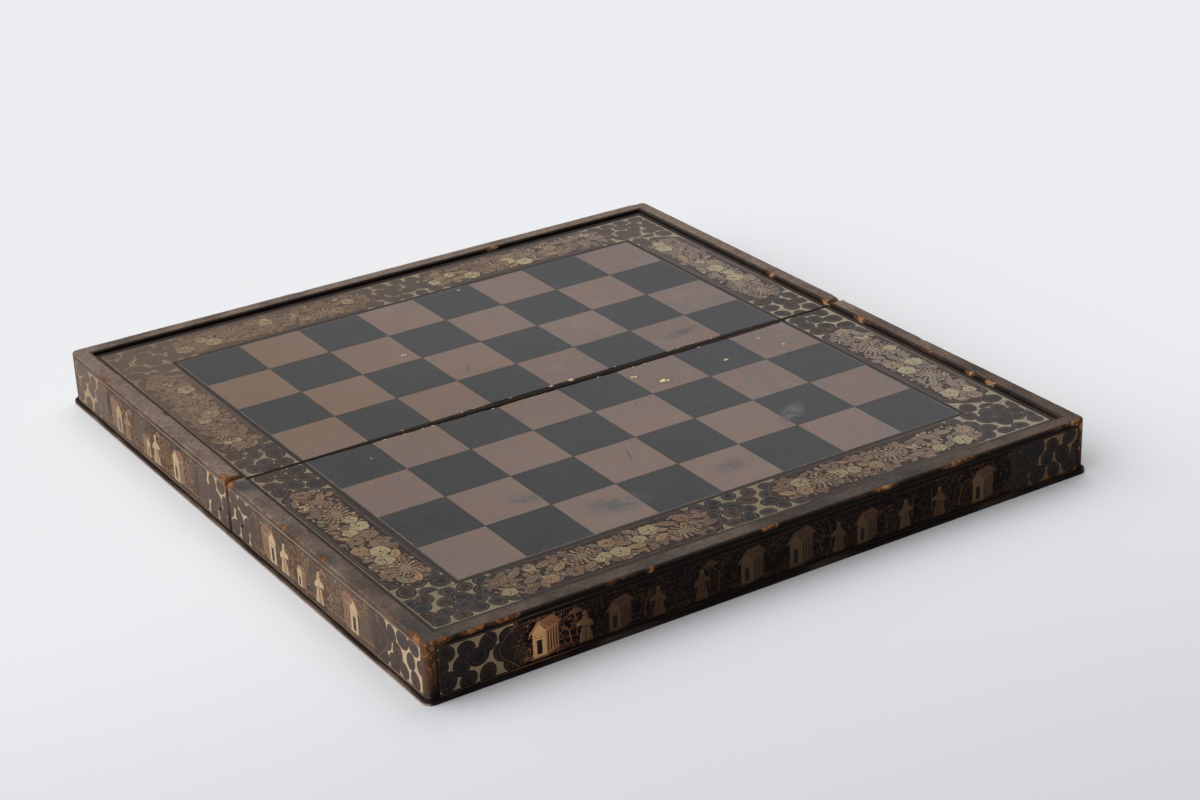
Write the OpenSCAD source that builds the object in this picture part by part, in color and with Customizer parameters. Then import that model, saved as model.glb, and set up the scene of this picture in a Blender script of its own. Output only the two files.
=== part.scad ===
// Folding games board of black and gold lacquer, lying open with its chess side up.
// Each half is a shallow tray turned over: a panel held in grooves by three lipped
// walls and one flush hinge wall. The chess field is on the panels' upper face, and the
// backgammon field is on their underside, inside the closed box. Two brass hinges join
// the mouth edges of the hinge walls, so the far half swings down and under the near
// half until the two mouths meet.
// X runs along the fold, -Y is the near half, Z is up. The origin lies under the middle
// of the open board, at the level of the lowest part of the hinge knuckles.

/* [Board] */
// Length of the board along the fold
board_l = 480; // [430:1:560]
// Width of one half, from its fold face to its outer face
half_w = 251; // [225:1:290]
// Height of a tray from its mouth to the top of its rim
tray_h = 38; // [32:0.5:60]
// Thickness of the outer walls, which is also the width of the rim
wall_t = 11.5; // [9:0.5:16]
// Thickness of the wall that carries the hinges
hinge_wall_t = 11; // [10.5:0.5:15]
// Gap between the two halves at the fold
fold_gap = 1.2; // [0.6:0.1:1.8]

/* [Panel] */
// Thickness of the panel that carries both playing fields
panel_t = 7; // [5:0.5:10]
// Depth of the groove in the walls that holds the panel
groove_d = 4; // [2:0.5:6]
// Height of the rim above the chess field
lip_h = 3; // [1.5:0.5:5]
// Radius of the panel's worn upper edge at the fold
panel_edge_r = 1; // [0.5:0.1:2]

/* [Edges] */
// Radius of the board's corners seen from above
corner_r = 5; // [2:0.5:8]
// Radius of the rim's long edges
rim_r = 1.2; // [0.5:0.1:2.5]
// Radius of the rim's worn ends at the fold
fold_end_r = 4; // [1:0.5:6]
// Radius of the upright edges at the fold
fold_side_r = 1.5; // [0.5:0.25:3]

/* [Bead] */
// Height of the bead round the mouth of each tray
bead_h = 3; // [2:0.25:5]
// Distance that the bead stands out of the wall
bead_out = 1.1; // [0.8:0.1:2]
// Radius of the bead's upper edge
bead_r = 0.7; // [0.3:0.1:0.8]

/* [Chess field] */
// Width of a square along the fold
square_w = 46; // [38:0.5:48]
// Depth of a square across the fold
square_d = 48; // [38:0.5:50]
// Width of the joint line between two squares
seam_w = 0.3; // [0.2:0.1:1]
// Width of the dark line round the squares
outline_w = 3.5; // [1:0.5:6]
// Width of the dark margin between the gilt border and the rim
margin_w = 5; // [2:0.5:8]
// Thickness of the coloured lacquer coats let into the panel
coat_t = 0.4; // [0.2:0.1:1]

/* [Backgammon field] */
// Length of a point from the end wall to its tip
point_l = 180; // [120:1:200]
// Gap between the feet of two points
point_gap = 2; // [1:0.5:4]
// Width of a point's blunt tip
point_tip = 1; // [0.5:0.25:3]

/* [Hinges] */
// Length of a hinge
hinge_l = 40; // [30:1:60]
// Distance from the board's end to the middle of a hinge
hinge_inset = 90; // [60:1:150]
// Width of a leaf from the hinge pin to its edge
leaf_w = 9; // [8:0.5:9.5]
// Thickness of a leaf
leaf_t = 1.2; // [1:0.1:1.6]
// Radius of the knuckle
knuckle_r = 1.5; // [1.4:0.1:2]
// Gap between two neighbouring barrels of the knuckle
barrel_gap = 0.2; // [0.1:0.05:0.5]
// Radius of the hinge pin
pin_r = 0.75; // [0.6:0.05:0.8]
// Radial clearance of the pin in the knuckle
pin_fit = 0.05; // [0.02:0.01:0.1]
// Clearance round the knuckle in the walls and in the other leaf
knuckle_clear = 0.3; // [0.2:0.1:0.6]
// Gap between the two mouths when the box is closed
mouth_gap = 0.3; // [0.2:0.05:0.6]

/* [Hinge screws] */
// Radius of a screw's shank
screw_r = 0.9; // [0.7:0.1:1.2]
// Radius of a screw's head
screw_head_r = 1.9; // [1.6:0.1:2.2]
// Height of a screw's countersunk head
screw_head_h = 1; // [0.7:0.1:1]
// Length of a screw
screw_l = 10; // [7:0.5:14]
// Clearance round a screw
screw_fit = 0.05; // [0.02:0.01:0.1]
// Distance between two screws of a leaf
screw_pitch = 14; // [10:0.5:14]
// Width of the slot in a screw's head
slot_w = 0.5; // [0.3:0.1:0.8]
// Depth of the slot in a screw's head
slot_d = 0.5; // [0.3:0.1:0.7]

/* [Hidden] */

$fn = 48;
// Overshoot of a cutting shape past the face that it cuts
over = 2;
// Squares along the fold, and rows of squares on one half
columns = 8;
rows = 4;
// Points at one end of a tray
points = 6;
// Barrels in a knuckle, the odd ones on the far leaf, and screws in a leaf
barrels = 5;
screws = 3;

// Levels above the surface that the board lies on
axis_z = knuckle_r;
mouth_z = axis_z + mouth_gap / 2;
rim_z = mouth_z + tray_h;
field_z = rim_z - lip_h;
under_z = field_z - panel_t;

// Places in plan, on the near half
x_out = board_l / 2;
x_in = x_out - wall_t;
y_fold = -fold_gap / 2;
y_out = y_fold - half_w;
y_in = y_out + wall_t;
y_bar = y_fold - hinge_wall_t;
y_coat = y_fold - panel_edge_r;
field_x = columns / 2 * square_w;
field_y = y_fold - rows * square_d;
point_pitch = (y_bar - y_in) / points;
hinge_x = x_out - hinge_inset;
barrel_l = hinge_l / barrels;
swing_r = knuckle_r + knuckle_clear;
screw_y = -(leaf_w + swing_r) / 2;

// Puts a shape made for the near half on the far half
module on_far_half() {
    mirror([0, 1, 0]) children();
}

// Puts a shape made for the left end on the right end
module on_right_end() {
    mirror([1, 0, 0]) children();
}

// Extrudes an outline drawn across a wall that runs along X, from x = 0
module run_x(length) {
    rotate([90, 0, 90]) linear_extrude(length) children();
}

// Extrudes an outline drawn across a wall that runs along Y, from y = 0 towards -Y
module run_y(length) {
    rotate([90, 0, 0]) linear_extrude(length) children();
}

// What lies outside a quarter circle about the origin, for rounding an edge
module outside_quarter(r) {
    difference() {
        square(r + over);
        circle(r);
    }
}

// Section of an outer wall, from its outer face inwards and from its mouth up
module wall_section() {
    inner_r = min(rim_r, lip_h / 2);
    difference() {
        square([wall_t, tray_h]);
        translate([rim_r, tray_h - rim_r]) mirror([1, 0]) outside_quarter(rim_r);
        translate([wall_t - inner_r, tray_h - inner_r]) outside_quarter(inner_r);
        translate([wall_t - groove_d, tray_h - lip_h - panel_t]) square([groove_d + over, panel_t]);
    }
}

// Outline of the near half seen from above, with its two outer corners rounded
module half_outline() {
    translate([-x_out, y_out + corner_r]) square([board_l, half_w - corner_r]);
    translate([-x_out + corner_r, y_out]) square([board_l - 2 * corner_r, half_w]);
    for (side = [-1, 1]) {
        translate([side * (x_out - corner_r), y_out + corner_r]) circle(corner_r);
    }
}

// Plan of the stretch that the outer wall keeps between its two mitres
module between_mitres() {
    polygon([
        [-x_out - over, y_out - over], [x_out + over, y_out - over],
        [x_in - over, y_in + over], [-x_in + over, y_in + over]
    ]);
}

// Plan of the stretch that the left wall keeps behind its mitre
module behind_mitre() {
    polygon([
        [-x_out - over, y_out - over], [-x_in + over, y_in + over],
        [-x_in + over, y_fold + over], [-x_out - over, y_fold + over]
    ]);
}

// Outer wall of the near half, mitred at both ends
module outer_wall() {
    intersection() {
        translate([-x_out, y_out, mouth_z]) run_x(board_l) wall_section();
        linear_extrude(rim_z + over) intersection() {
            half_outline();
            between_mitres();
        }
    }
}

// Left wall of the near half, mitred at its outer corner and rounded at the fold
module end_wall() {
    difference() {
        intersection() {
            translate([-x_out, y_fold, mouth_z]) run_y(half_w) wall_section();
            linear_extrude(rim_z + over) intersection() {
                half_outline();
                behind_mitre();
            }
        }
        // Housing that takes the end of the hinge wall
        translate([-x_in - groove_d, y_bar, mouth_z - over])
            cube([groove_d + over, hinge_wall_t + over, under_z - mouth_z + 2 * over]);
        translate([-x_out - over, y_fold - fold_end_r, rim_z - fold_end_r])
            run_x(wall_t + 2 * over) outside_quarter(fold_end_r);
        translate([-x_out + fold_side_r, y_fold - fold_side_r, mouth_z + bead_h])
            mirror([1, 0, 0]) linear_extrude(tray_h) outside_quarter(fold_side_r);
    }
}

// Wall along the fold, under the panel, with its ends in the end walls
module hinge_wall() {
    difference() {
        translate([-x_in - groove_d, y_bar, mouth_z])
            cube([2 * (x_in + groove_d), hinge_wall_t, under_z - mouth_z]);
        for (x = [-hinge_x, hinge_x]) translate([x, 0, 0]) {
            translate([-hinge_l / 2, -leaf_w, mouth_z - over]) cube([hinge_l, leaf_w, leaf_t + over]);
            translate([-hinge_l / 2 - knuckle_clear, 0, axis_z]) rotate([0, 90, 0])
                cylinder(r = swing_r, h = hinge_l + 2 * knuckle_clear);
            leaf_screws_at() cylinder(r = screw_r + screw_fit, h = screw_l + screw_fit);
        }
    }
}

// Section of the bead, from the wall's face outwards and from the mouth up
module bead_section() {
    difference() {
        square([bead_out, bead_h]);
        translate([bead_out - bead_r, bead_h - bead_r]) outside_quarter(bead_r);
    }
}

// Half of the bead's turn round a corner, from the given angle
module bead_turn(from) {
    rotate([0, 0, from]) rotate_extrude(angle = 45) translate([corner_r, 0]) bead_section();
}

// Bead along the outer wall, up to the mitres of both corners
module outer_bead() {
    translate([-x_out + corner_r, y_out, mouth_z])
        run_x(board_l - 2 * corner_r) mirror([1, 0]) bead_section();
    for (end = [0, 1]) mirror([end, 0, 0]) {
        translate([x_out - corner_r, y_out + corner_r, mouth_z]) bead_turn(270);
    }
}

// Bead along the left wall, from the fold to the mitre of the corner
module end_bead() {
    translate([-x_out, y_fold, mouth_z]) run_y(half_w - corner_r) mirror([1, 0]) bead_section();
    translate([-x_out + corner_r, y_out + corner_r, mouth_z]) bead_turn(180);
}

// Outline of the gilt border, a band round three sides of the squares
module border_outline() {
    difference() {
        translate([-x_in + margin_w, y_in + margin_w])
            square([2 * (x_in - margin_w), y_coat - y_in - margin_w]);
        translate([-field_x - outline_w, field_y - outline_w])
            square([2 * (field_x + outline_w), y_fold - field_y + outline_w + over]);
    }
}

// Gilt border, let into the panel
module gilt_border() {
    translate([0, 0, field_z - coat_t]) linear_extrude(coat_t) border_outline();
}

// Bed of the squares in the panel's upper face
module squares_bed() {
    translate([-field_x, field_y, field_z - coat_t]) cube([2 * field_x, y_coat - field_y, coat_t + over]);
}

// Squares whose column and row, counted from the fold, have this parity
module squares(parity) {
    for (i = [0 : columns - 1], j = [0 : rows - 1]) if ((i + j) % 2 == parity) {
        depth = square_d - seam_w - (j == 0 ? panel_edge_r - seam_w / 2 : 0);
        translate([
            i * square_w - field_x + seam_w / 2,
            y_fold - (j + 1) * square_d + seam_w / 2,
            field_z - coat_t
        ]) cube([square_w - seam_w, depth, coat_t]);
    }
}

// One backgammon point that starts on the left end wall
module point_outline() {
    foot = point_pitch - point_gap;
    polygon([
        [-x_in, -foot / 2], [-x_in + point_l, -point_tip / 2],
        [-x_in + point_l, point_tip / 2], [-x_in, foot / 2]
    ]);
}

// Backgammon points of one colour on the panel's underside
module point_set(parity) {
    for (end = [0, 1], k = [0 : points - 1]) if ((end + k) % 2 == parity) {
        mirror([end, 0, 0]) translate([0, y_in + (k + 0.5) * point_pitch, under_z])
            linear_extrude(coat_t) point_outline();
    }
}

// Panel of the near half, with shallow beds for the coloured coats on both faces
module panel() {
    difference() {
        translate([-x_in - groove_d, y_in - groove_d, under_z])
            cube([2 * (x_in + groove_d), y_fold - y_in + groove_d, panel_t]);
        translate([-x_in - groove_d - over, y_coat, field_z - panel_edge_r])
            run_x(2 * (x_in + groove_d + over)) outside_quarter(panel_edge_r);
        squares_bed();
        gilt_border();
        point_set(0);
        point_set(1);
    }
}

// Puts a shape at each screw of a near leaf, pointing up into the wall
module leaf_screws_at() {
    for (k = [0 : screws - 1]) {
        translate([(k - (screws - 1) / 2) * screw_pitch, screw_y, mouth_z]) children();
    }
}

// Stretch of the knuckle about the hinge axis, between two barrel numbers
module barrel(number, r, extra) {
    translate([(number - barrels / 2) * barrel_l - extra, 0, axis_z]) rotate([0, 90, 0])
        cylinder(r = r, h = barrel_l + 2 * extra);
}

// Near leaf of a hinge with every second barrel, its own ones having this parity
module leaf(parity) {
    difference() {
        union() {
            translate([-hinge_l / 2, -leaf_w, mouth_z]) cube([hinge_l, leaf_w + y_fold, leaf_t]);
            for (k = [0 : barrels - 1]) if (k % 2 == parity) barrel(k, knuckle_r, -barrel_gap / 2);
        }
        for (k = [0 : barrels - 1]) if (k % 2 != parity) barrel(k, swing_r, barrel_gap / 2);
        translate([-hinge_l / 2 - over, 0, axis_z]) rotate([0, 90, 0])
            cylinder(r = pin_r + pin_fit, h = hinge_l + 2 * over);
        leaf_screws_at() screw_hole();
    }
}

// Countersunk hole for one screw through a leaf
module screw_hole() {
    translate([0, 0, -over]) cylinder(r = screw_r + screw_fit, h = leaf_t + 2 * over);
    cylinder(r1 = screw_head_r + screw_fit, r2 = screw_r + screw_fit, h = screw_head_h);
}

// One countersunk wood screw with a slotted head, its head down
module screw() {
    difference() {
        union() {
            cylinder(r1 = screw_head_r, r2 = screw_r, h = screw_head_h);
            cylinder(r = screw_r, h = screw_l);
        }
        translate([-screw_head_r - over, -slot_w / 2, -over])
            cube([2 * (screw_head_r + over), slot_w, slot_d + over]);
    }
}

// Screws of both near leaves
module hinge_screws() {
    for (x = [-hinge_x, hinge_x]) translate([x, 0, 0]) leaf_screws_at() screw();
}

// Pin of a hinge, on the axis that the far half turns about
module pin() {
    translate([-hinge_l / 2, 0, axis_z]) rotate([0, 90, 0]) cylinder(r = pin_r, h = hinge_l);
}

// Near half
module near_panel() {
    color("#2c2420") panel();
}
module near_outer_wall() {
    color("#3a2d27") outer_wall();
}
module near_hinge_wall() {
    color("#33261f") hinge_wall();
}
module near_left_wall() {
    color("#3f312a") end_wall();
}
module near_right_wall() {
    color("#3f312a") on_right_end() end_wall();
}
module near_outer_bead() {
    color("#221a17") outer_bead();
}
module near_left_bead() {
    color("#221a17") end_bead();
}
module near_right_bead() {
    color("#221a17") on_right_end() end_bead();
}
module near_dark_squares() {
    color("#404649") squares(0);
}
module near_light_squares() {
    color("#7f6b5f") squares(1);
}
module near_gilt_border() {
    color("#8a7047") gilt_border();
}
module near_gold_points() {
    color("#b08c4a") point_set(0);
}
module near_red_points() {
    color("#7b3124") point_set(1);
}

// Far half
module far_panel() {
    color("#2c2420") on_far_half() panel();
}
module far_outer_wall() {
    color("#3a2d27") on_far_half() outer_wall();
}
module far_hinge_wall() {
    color("#33261f") on_far_half() hinge_wall();
}
module far_left_wall() {
    color("#3f312a") on_far_half() end_wall();
}
module far_right_wall() {
    color("#3f312a") on_far_half() on_right_end() end_wall();
}
module far_outer_bead() {
    color("#221a17") on_far_half() outer_bead();
}
module far_left_bead() {
    color("#221a17") on_far_half() end_bead();
}
module far_right_bead() {
    color("#221a17") on_far_half() on_right_end() end_bead();
}
module far_dark_squares() {
    color("#404649") on_far_half() squares(1);
}
module far_light_squares() {
    color("#7f6b5f") on_far_half() squares(0);
}
module far_gilt_border() {
    color("#8a7047") on_far_half() gilt_border();
}
module far_gold_points() {
    color("#b08c4a") on_far_half() point_set(1);
}
module far_red_points() {
    color("#7b3124") on_far_half() point_set(0);
}

// Hinges
module left_hinge_near_leaf() {
    color("#9a7b3e") translate([-hinge_x, 0, 0]) leaf(0);
}
module left_hinge_far_leaf() {
    color("#9a7b3e") translate([-hinge_x, 0, 0]) on_far_half() leaf(1);
}
module left_hinge_pin() {
    color("#7d6433") translate([-hinge_x, 0, 0]) pin();
}
module right_hinge_near_leaf() {
    color("#9a7b3e") translate([hinge_x, 0, 0]) leaf(0);
}
module right_hinge_far_leaf() {
    color("#9a7b3e") translate([hinge_x, 0, 0]) on_far_half() leaf(1);
}
module right_hinge_pin() {
    color("#7d6433") translate([hinge_x, 0, 0]) pin();
}
module near_hinge_screws() {
    color("#7d6433") hinge_screws();
}
module far_hinge_screws() {
    color("#7d6433") on_far_half() hinge_screws();
}

near_panel();
near_outer_wall();
near_hinge_wall();
near_left_wall();
near_right_wall();
near_outer_bead();
near_left_bead();
near_right_bead();
near_dark_squares();
near_light_squares();
near_gilt_border();
near_gold_points();
near_red_points();
far_panel();
far_outer_wall();
far_hinge_wall();
far_left_wall();
far_right_wall();
far_outer_bead();
far_left_bead();
far_right_bead();
far_dark_squares();
far_light_squares();
far_gilt_border();
far_gold_points();
far_red_points();
left_hinge_near_leaf();
left_hinge_far_leaf();
left_hinge_pin();
right_hinge_near_leaf();
right_hinge_far_leaf();
right_hinge_pin();
near_hinge_screws();
far_hinge_screws();
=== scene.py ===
"""Dresses the folding games board in worn lacquer, gilt work and brass, and sets its stage."""

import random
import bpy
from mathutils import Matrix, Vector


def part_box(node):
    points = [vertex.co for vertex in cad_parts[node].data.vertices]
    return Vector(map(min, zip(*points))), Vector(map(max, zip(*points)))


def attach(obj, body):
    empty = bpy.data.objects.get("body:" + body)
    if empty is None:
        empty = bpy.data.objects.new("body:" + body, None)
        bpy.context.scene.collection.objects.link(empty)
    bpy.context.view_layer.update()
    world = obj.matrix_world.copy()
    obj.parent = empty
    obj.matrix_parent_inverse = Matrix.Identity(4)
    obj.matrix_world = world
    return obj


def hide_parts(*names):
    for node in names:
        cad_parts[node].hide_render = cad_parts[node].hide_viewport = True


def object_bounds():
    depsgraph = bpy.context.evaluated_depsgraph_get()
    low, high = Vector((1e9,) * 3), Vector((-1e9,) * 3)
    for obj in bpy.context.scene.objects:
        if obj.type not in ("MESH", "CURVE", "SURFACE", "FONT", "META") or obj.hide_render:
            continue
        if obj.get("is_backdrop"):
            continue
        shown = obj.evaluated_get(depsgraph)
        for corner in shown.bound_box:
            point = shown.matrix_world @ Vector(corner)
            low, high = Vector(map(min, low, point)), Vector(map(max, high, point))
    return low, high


bl_info = {
    "name": "Lacquered Folding Games Board",
    "version": (1, 0, 0),
    "blender": (4, 5, 0),
    "location": "3D View > Sidebar > Games Board",
    "description": "Dresses a folding chess and backgammon board in worn lacquer and gilt work",
    "category": "Object",
}

from math import atan2, copysign, cos, exp, hypot, pi, radians, sin, sqrt

import bmesh
import bpy
from bpy.props import FloatProperty, FloatVectorProperty, IntProperty, PointerProperty
from mathutils import Matrix, Vector, noise

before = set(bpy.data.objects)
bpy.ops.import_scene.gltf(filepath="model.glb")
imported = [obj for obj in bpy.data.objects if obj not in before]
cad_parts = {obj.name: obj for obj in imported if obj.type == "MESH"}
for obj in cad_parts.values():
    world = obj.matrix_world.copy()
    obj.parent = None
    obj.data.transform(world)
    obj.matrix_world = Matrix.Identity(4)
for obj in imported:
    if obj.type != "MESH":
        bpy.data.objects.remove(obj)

# Places on the board that the CAD parts give, in millimetres
MM = 0.001
CAD_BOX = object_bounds()


def span(node):
    """The lowest and highest corner of a node in millimetres."""
    low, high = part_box(node)
    return low / MM, high / MM


OUTER_LOW, OUTER_HIGH = span("near_outer_wall")
SIDE_LOW, SIDE_HIGH = span("near_left_wall")
BAND_LOW, BAND_HIGH = span("near_gilt_border")
SQUARES_LOW, SQUARES_HIGH = span("near_dark_squares")
X_OUT, Y_OUT = OUTER_HIGH.x, -OUTER_LOW.y
MOUTH_Z, RIM_Z = OUTER_LOW.z, OUTER_HIGH.z
TRAY_H = RIM_Z - MOUTH_Z
WALL_T = SIDE_HIGH.x - SIDE_LOW.x
FOLD_Y = -SIDE_HIGH.y
BAND_X, BAND_Y, BAND_FOLD = BAND_HIGH.x, -BAND_LOW.y, -BAND_HIGH.y
FIELD_X, FIELD_Y, FIELD_Z = -SQUARES_LOW.x, -SQUARES_LOW.y, SQUARES_HIGH.z

# A half of the board is turned half round to make the other one
HALVES = {"near": 1, "far": -1}

# Settings


def linear(code):
    """A web colour as the linear red, green and blue that shaders take."""
    values = [int(code[i : i + 2], 16) / 255 for i in (1, 3, 5)]
    return tuple(v / 12.92 if v <= 0.04045 else ((v + 0.055) / 1.055) ** 2.4 for v in values)


def number(name, description, default, **options):
    """A number that a user can change."""
    return FloatProperty(name=name, description=description, default=default, **options)


def length(name, description, millimetres):
    """A length that a user can change."""
    return number(name, description, millimetres * MM, min=0.0, unit="LENGTH")


def angle(name, description, degrees):
    """An angle that a user can change."""
    return number(name, description, radians(degrees), unit="ROTATION")


def tint(name, description, code):
    """A colour that a user can change."""
    options = {"subtype": "COLOR", "size": 3, "min": 0.0, "max": 1.0}
    return FloatVectorProperty(name=name, description=description, default=linear(code), **options)


class BoardLacquers(bpy.types.PropertyGroup):
    """Colours of the lacquers, the wood and the brass."""

    black: tint("Black", "Lacquer of the walls, beads and panels", "#1f1916")
    # The rubbed colour also serves as the painted sheen on the rim tops, the painted light on the left
    # wall and the painted highlight on the left bead.
    rubbed: tint("Rubbed black", "Black lacquer where hands have rubbed it", "#7f6d61")
    wood: tint("Bare wood", "Wood that shows at the worn edges", "#8c5d3d")
    slate: tint("Slate", "Lacquer of the dark squares", "#303133")
    taupe: tint("Taupe", "Lacquer of the light squares", "#6d5b52")
    ground: tint("Border ground", "Lacquer under the gilt work", "#373030")
    red: tint("Red points", "Lacquer of the red points of the inside field", "#7e2a22")
    brass: tint("Brass", "Hinges, pins and screws", "#a78a4e")


class BoardGilding(bpy.types.PropertyGroup):
    """Tones and sizes of the gilt work."""

    pale: tint("Pale gold", "Blossoms, pavilion fronts and the ground of the wall lobes", "#aa9a74")
    tan: tint("Tan gold", "Flower heads, robes, stems and eaves", "#8f7354")
    copper: tint("Copper gold", "Reddish leaves and roofs", "#775c47")
    olive: tint("Olive gold", "Greenish leaves", "#74654d")
    umber: tint("Umber", "Ribs of the lobes, dull leaves and worn gold", "#604c3d")
    # Ochre is the colour of the painted shade on the dark part of the near wall.
    shade_ochre: tint("Ochre", "Gold darkened by old varnish on the near wall", "#9a6a30")
    ink: tint("Ink", "Dark lines of the drawing", "#292524")
    lobe: length("Lobe", "Radius of the largest lobe", 6.6)
    blossom: length("Blossom", "Radius of a pale blossom", 6.6)
    head: length("Flower head", "Radius of a large flower head", 12.5)
    seed: IntProperty(name="Seed", description="Layout of the gilt work", default=7)


class BoardWear(bpy.types.PropertyGroup):
    """How far the edges have worn."""

    arris: length("Arris", "Radius of a sound edge of a wall", 1.0)
    rub: length("Rub", "Most that plain wear adds to that radius", 0.8)
    step: length("Step", "Distance between the sections of a wall", 2.6)
    coverage: number(
        "Bare share", "Share of the edges that shows bare wood", 0.24, min=0.0, max=1.0, subtype="FACTOR"
    )


class BoardStage(bpy.types.PropertyGroup):
    """Camera, lights and floor."""

    azimuth: angle("Azimuth", "Turn of the camera round the board, 0 looks along +Y", -31.848)
    elevation: angle("Elevation", "Height of the camera above the horizon", 24.562)
    roll: angle("Roll", "Tilt of the camera about its own line of sight", -2.378)
    place: FloatVectorProperty(
        name="Place",
        description="Where the camera stands",
        default=(-0.7855, -1.3211, 0.72825),
        unit="LENGTH",
        size=3,
    )
    lens: number("Lens", "Focal length on a 36 mm wide sensor", 76.417, min=1.0)
    key: number("Key", "Strength of the light above", 1.0, min=0.0)
    side: number("Side", "Strength of the light on the left", 2.2, min=0.0)
    fill: number("Fill", "Strength of the pale room", 0.535, min=0.0)
    # The two floor colours paint the room's light: the floor is paler behind the board and darker in
    # front.
    floor: tint("Floor", "Colour of the floor behind the board", "#dfe0e2")
    floor_front: tint("Floor in front", "Colour of the floor in front", "#c7c8cc")


def settings():
    """The four groups of settings of the scene."""
    scene = bpy.context.scene
    return scene.board_lacquers, scene.board_gilding, scene.board_wear, scene.board_stage


# Shader maths


class Wire:
    """A socket of a node tree that takes part in Python sums."""

    def __init__(self, tree, socket=None):
        self.tree = tree
        self.socket = socket

    def node(self, kind, options=None, inputs=None, output=0):
        """Adds a node, sets its options, feeds its sockets and gives one output, if it has any."""
        made = self.tree.nodes.new(kind)
        for name, value in (options or {}).items():
            setattr(made, name, value)
        for key, value in (inputs or {}).items():
            if isinstance(value, Wire):
                self.tree.links.new(value.socket, made.inputs[key])
            else:
                made.inputs[key].default_value = value
        return Wire(self.tree, made.outputs[output]) if len(made.outputs) else None

    def reckon(self, operation, *values):
        """The result of a sum on numbers."""
        return self.node("ShaderNodeMath", {"operation": operation}, dict(enumerate(values)))

    def __add__(self, other):
        return self.reckon("ADD", self, other)

    def __sub__(self, other):
        return self.reckon("SUBTRACT", self, other)

    def __mul__(self, other):
        return self.reckon("MULTIPLY", self, other)

    def __rsub__(self, other):
        return self.reckon("SUBTRACT", other, self)

    __radd__ = __add__
    __rmul__ = __mul__

    def floor(self):
        """The whole number below this value."""
        return self.reckon("FLOOR", self)

    def size(self):
        """This value without its sign."""
        return self.reckon("ABSOLUTE", self)

    def most(self, other):
        """The larger of two values."""
        return self.reckon("MAXIMUM", self, other)

    def smooth(self, start, end):
        """0 on the side of start, 1 on the side of end, and a smooth rise between them."""
        limits = {"Value": self, "From Min": start, "From Max": end}
        return self.node("ShaderNodeMapRange", {"interpolation_type": "SMOOTHSTEP"}, limits)

    def stretch(self, x, y, z):
        """A place with each of its axes scaled on its own."""
        inputs = {0: self, 1: (x, y, z)}
        return self.node("ShaderNodeVectorMath", {"operation": "MULTIPLY"}, inputs)

    def noise(self, scale, detail=3.0, distortion=0.0):
        """Cloudy values about 0.5, scale clouds to the millimetre."""
        inputs = {"Vector": self, "Scale": scale, "Detail": detail, "Distortion": distortion}
        return self.node("ShaderNodeTexNoise", {}, inputs, "Fac")

    def specks(self, scale, size):
        """1 inside scattered round specks, scale of them to the millimetre."""
        inputs = {"Vector": self, "Scale": scale}
        return self.node("ShaderNodeTexVoronoi", {}, inputs, "Distance").smooth(size, size * 0.6)

    def axes(self):
        """The x, y and z of a place."""
        outputs = self.node("ShaderNodeSeparateXYZ", {}, {0: self}).socket.node.outputs
        return [Wire(self.tree, outputs[axis]) for axis in "XYZ"]

    def toward(self, heading):
        """How far this place or heading lies along another."""
        inputs = {0: self, 1: heading}
        return self.node("ShaderNodeVectorMath", {"operation": "DOT_PRODUCT"}, inputs, "Value")

    def blend(self, first, second):
        """The second colour where this value is 1, the first where it is 0."""
        inputs = {0: self, 6: colour_of(first), 7: colour_of(second)}
        return self.node("ShaderNodeMix", {"data_type": "RGBA"}, inputs, 2)


def colour_of(value):
    """A colour in the form that a socket takes."""
    return value if isinstance(value, Wire) else (*value[:3], 1.0)


def layered(colour, *layers):
    """A colour with others laid over it, each given with its share."""
    for share, other in layers:
        colour = share.blend(colour, other)
    return colour


def tinted(colour, *shares):
    """A colour with its red, green and blue each brought to a share."""
    return tuple(value * share for value, share in zip(colour, shares))


def darker(colour, share):
    """A colour brought to a share of its light."""
    return tinted(colour, share, share, share)


def empty_tree(owner):
    """Clears the nodes of a material or a world."""
    owner.use_nodes = True
    owner.node_tree.nodes.clear()
    return Wire(owner.node_tree)


def start_material(name):
    """A new material and the place on the object in millimetres."""
    material = bpy.data.materials.new(name)
    place = empty_tree(material).node("ShaderNodeTexCoord", {}, {}, "Object")
    return material, place.stretch(1 / MM, 1 / MM, 1 / MM)


def over_board(place, half_x=X_OUT, half_y=Y_OUT):
    """The x, y and z of a place: x and y as shares from -1 to 1, z in millimetres."""
    return place.stretch(1 / half_x, 1 / half_y, 1.0).axes()


def finish_material(material, colour, roughness, relief, depth, gloss=0.5, metal=0.0):
    """Joins the colour, the roughness and the relief, depth millimetres deep, to a shader."""
    start = Wire(material.node_tree)
    bump = {"Strength": 1.0, "Distance": depth * MM, "Height": relief}
    inputs = {
        "Base Color": colour_of(colour),
        "Roughness": roughness,
        "Normal": start.node("ShaderNodeBump", {}, bump),
        "Specular IOR Level": gloss,
        "Metallic": metal,
    }
    shader = start.node("ShaderNodeBsdfPrincipled", {}, inputs)
    start.node("ShaderNodeOutputMaterial", {}, {"Surface": shader})
    return material


# Materials


def left_face(x, depth=2.0):
    """1 on the outside of the left walls, 0 from a depth in millimetres inwards."""
    return x.smooth(depth / X_OUT - 1, 0.5 / X_OUT - 1)


def near_face(y, depth=2.0):
    """1 on the outside of the near wall, 0 from a depth in millimetres inwards."""
    return y.smooth(depth / Y_OUT - 1, 0.5 / Y_OUT - 1)


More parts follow.
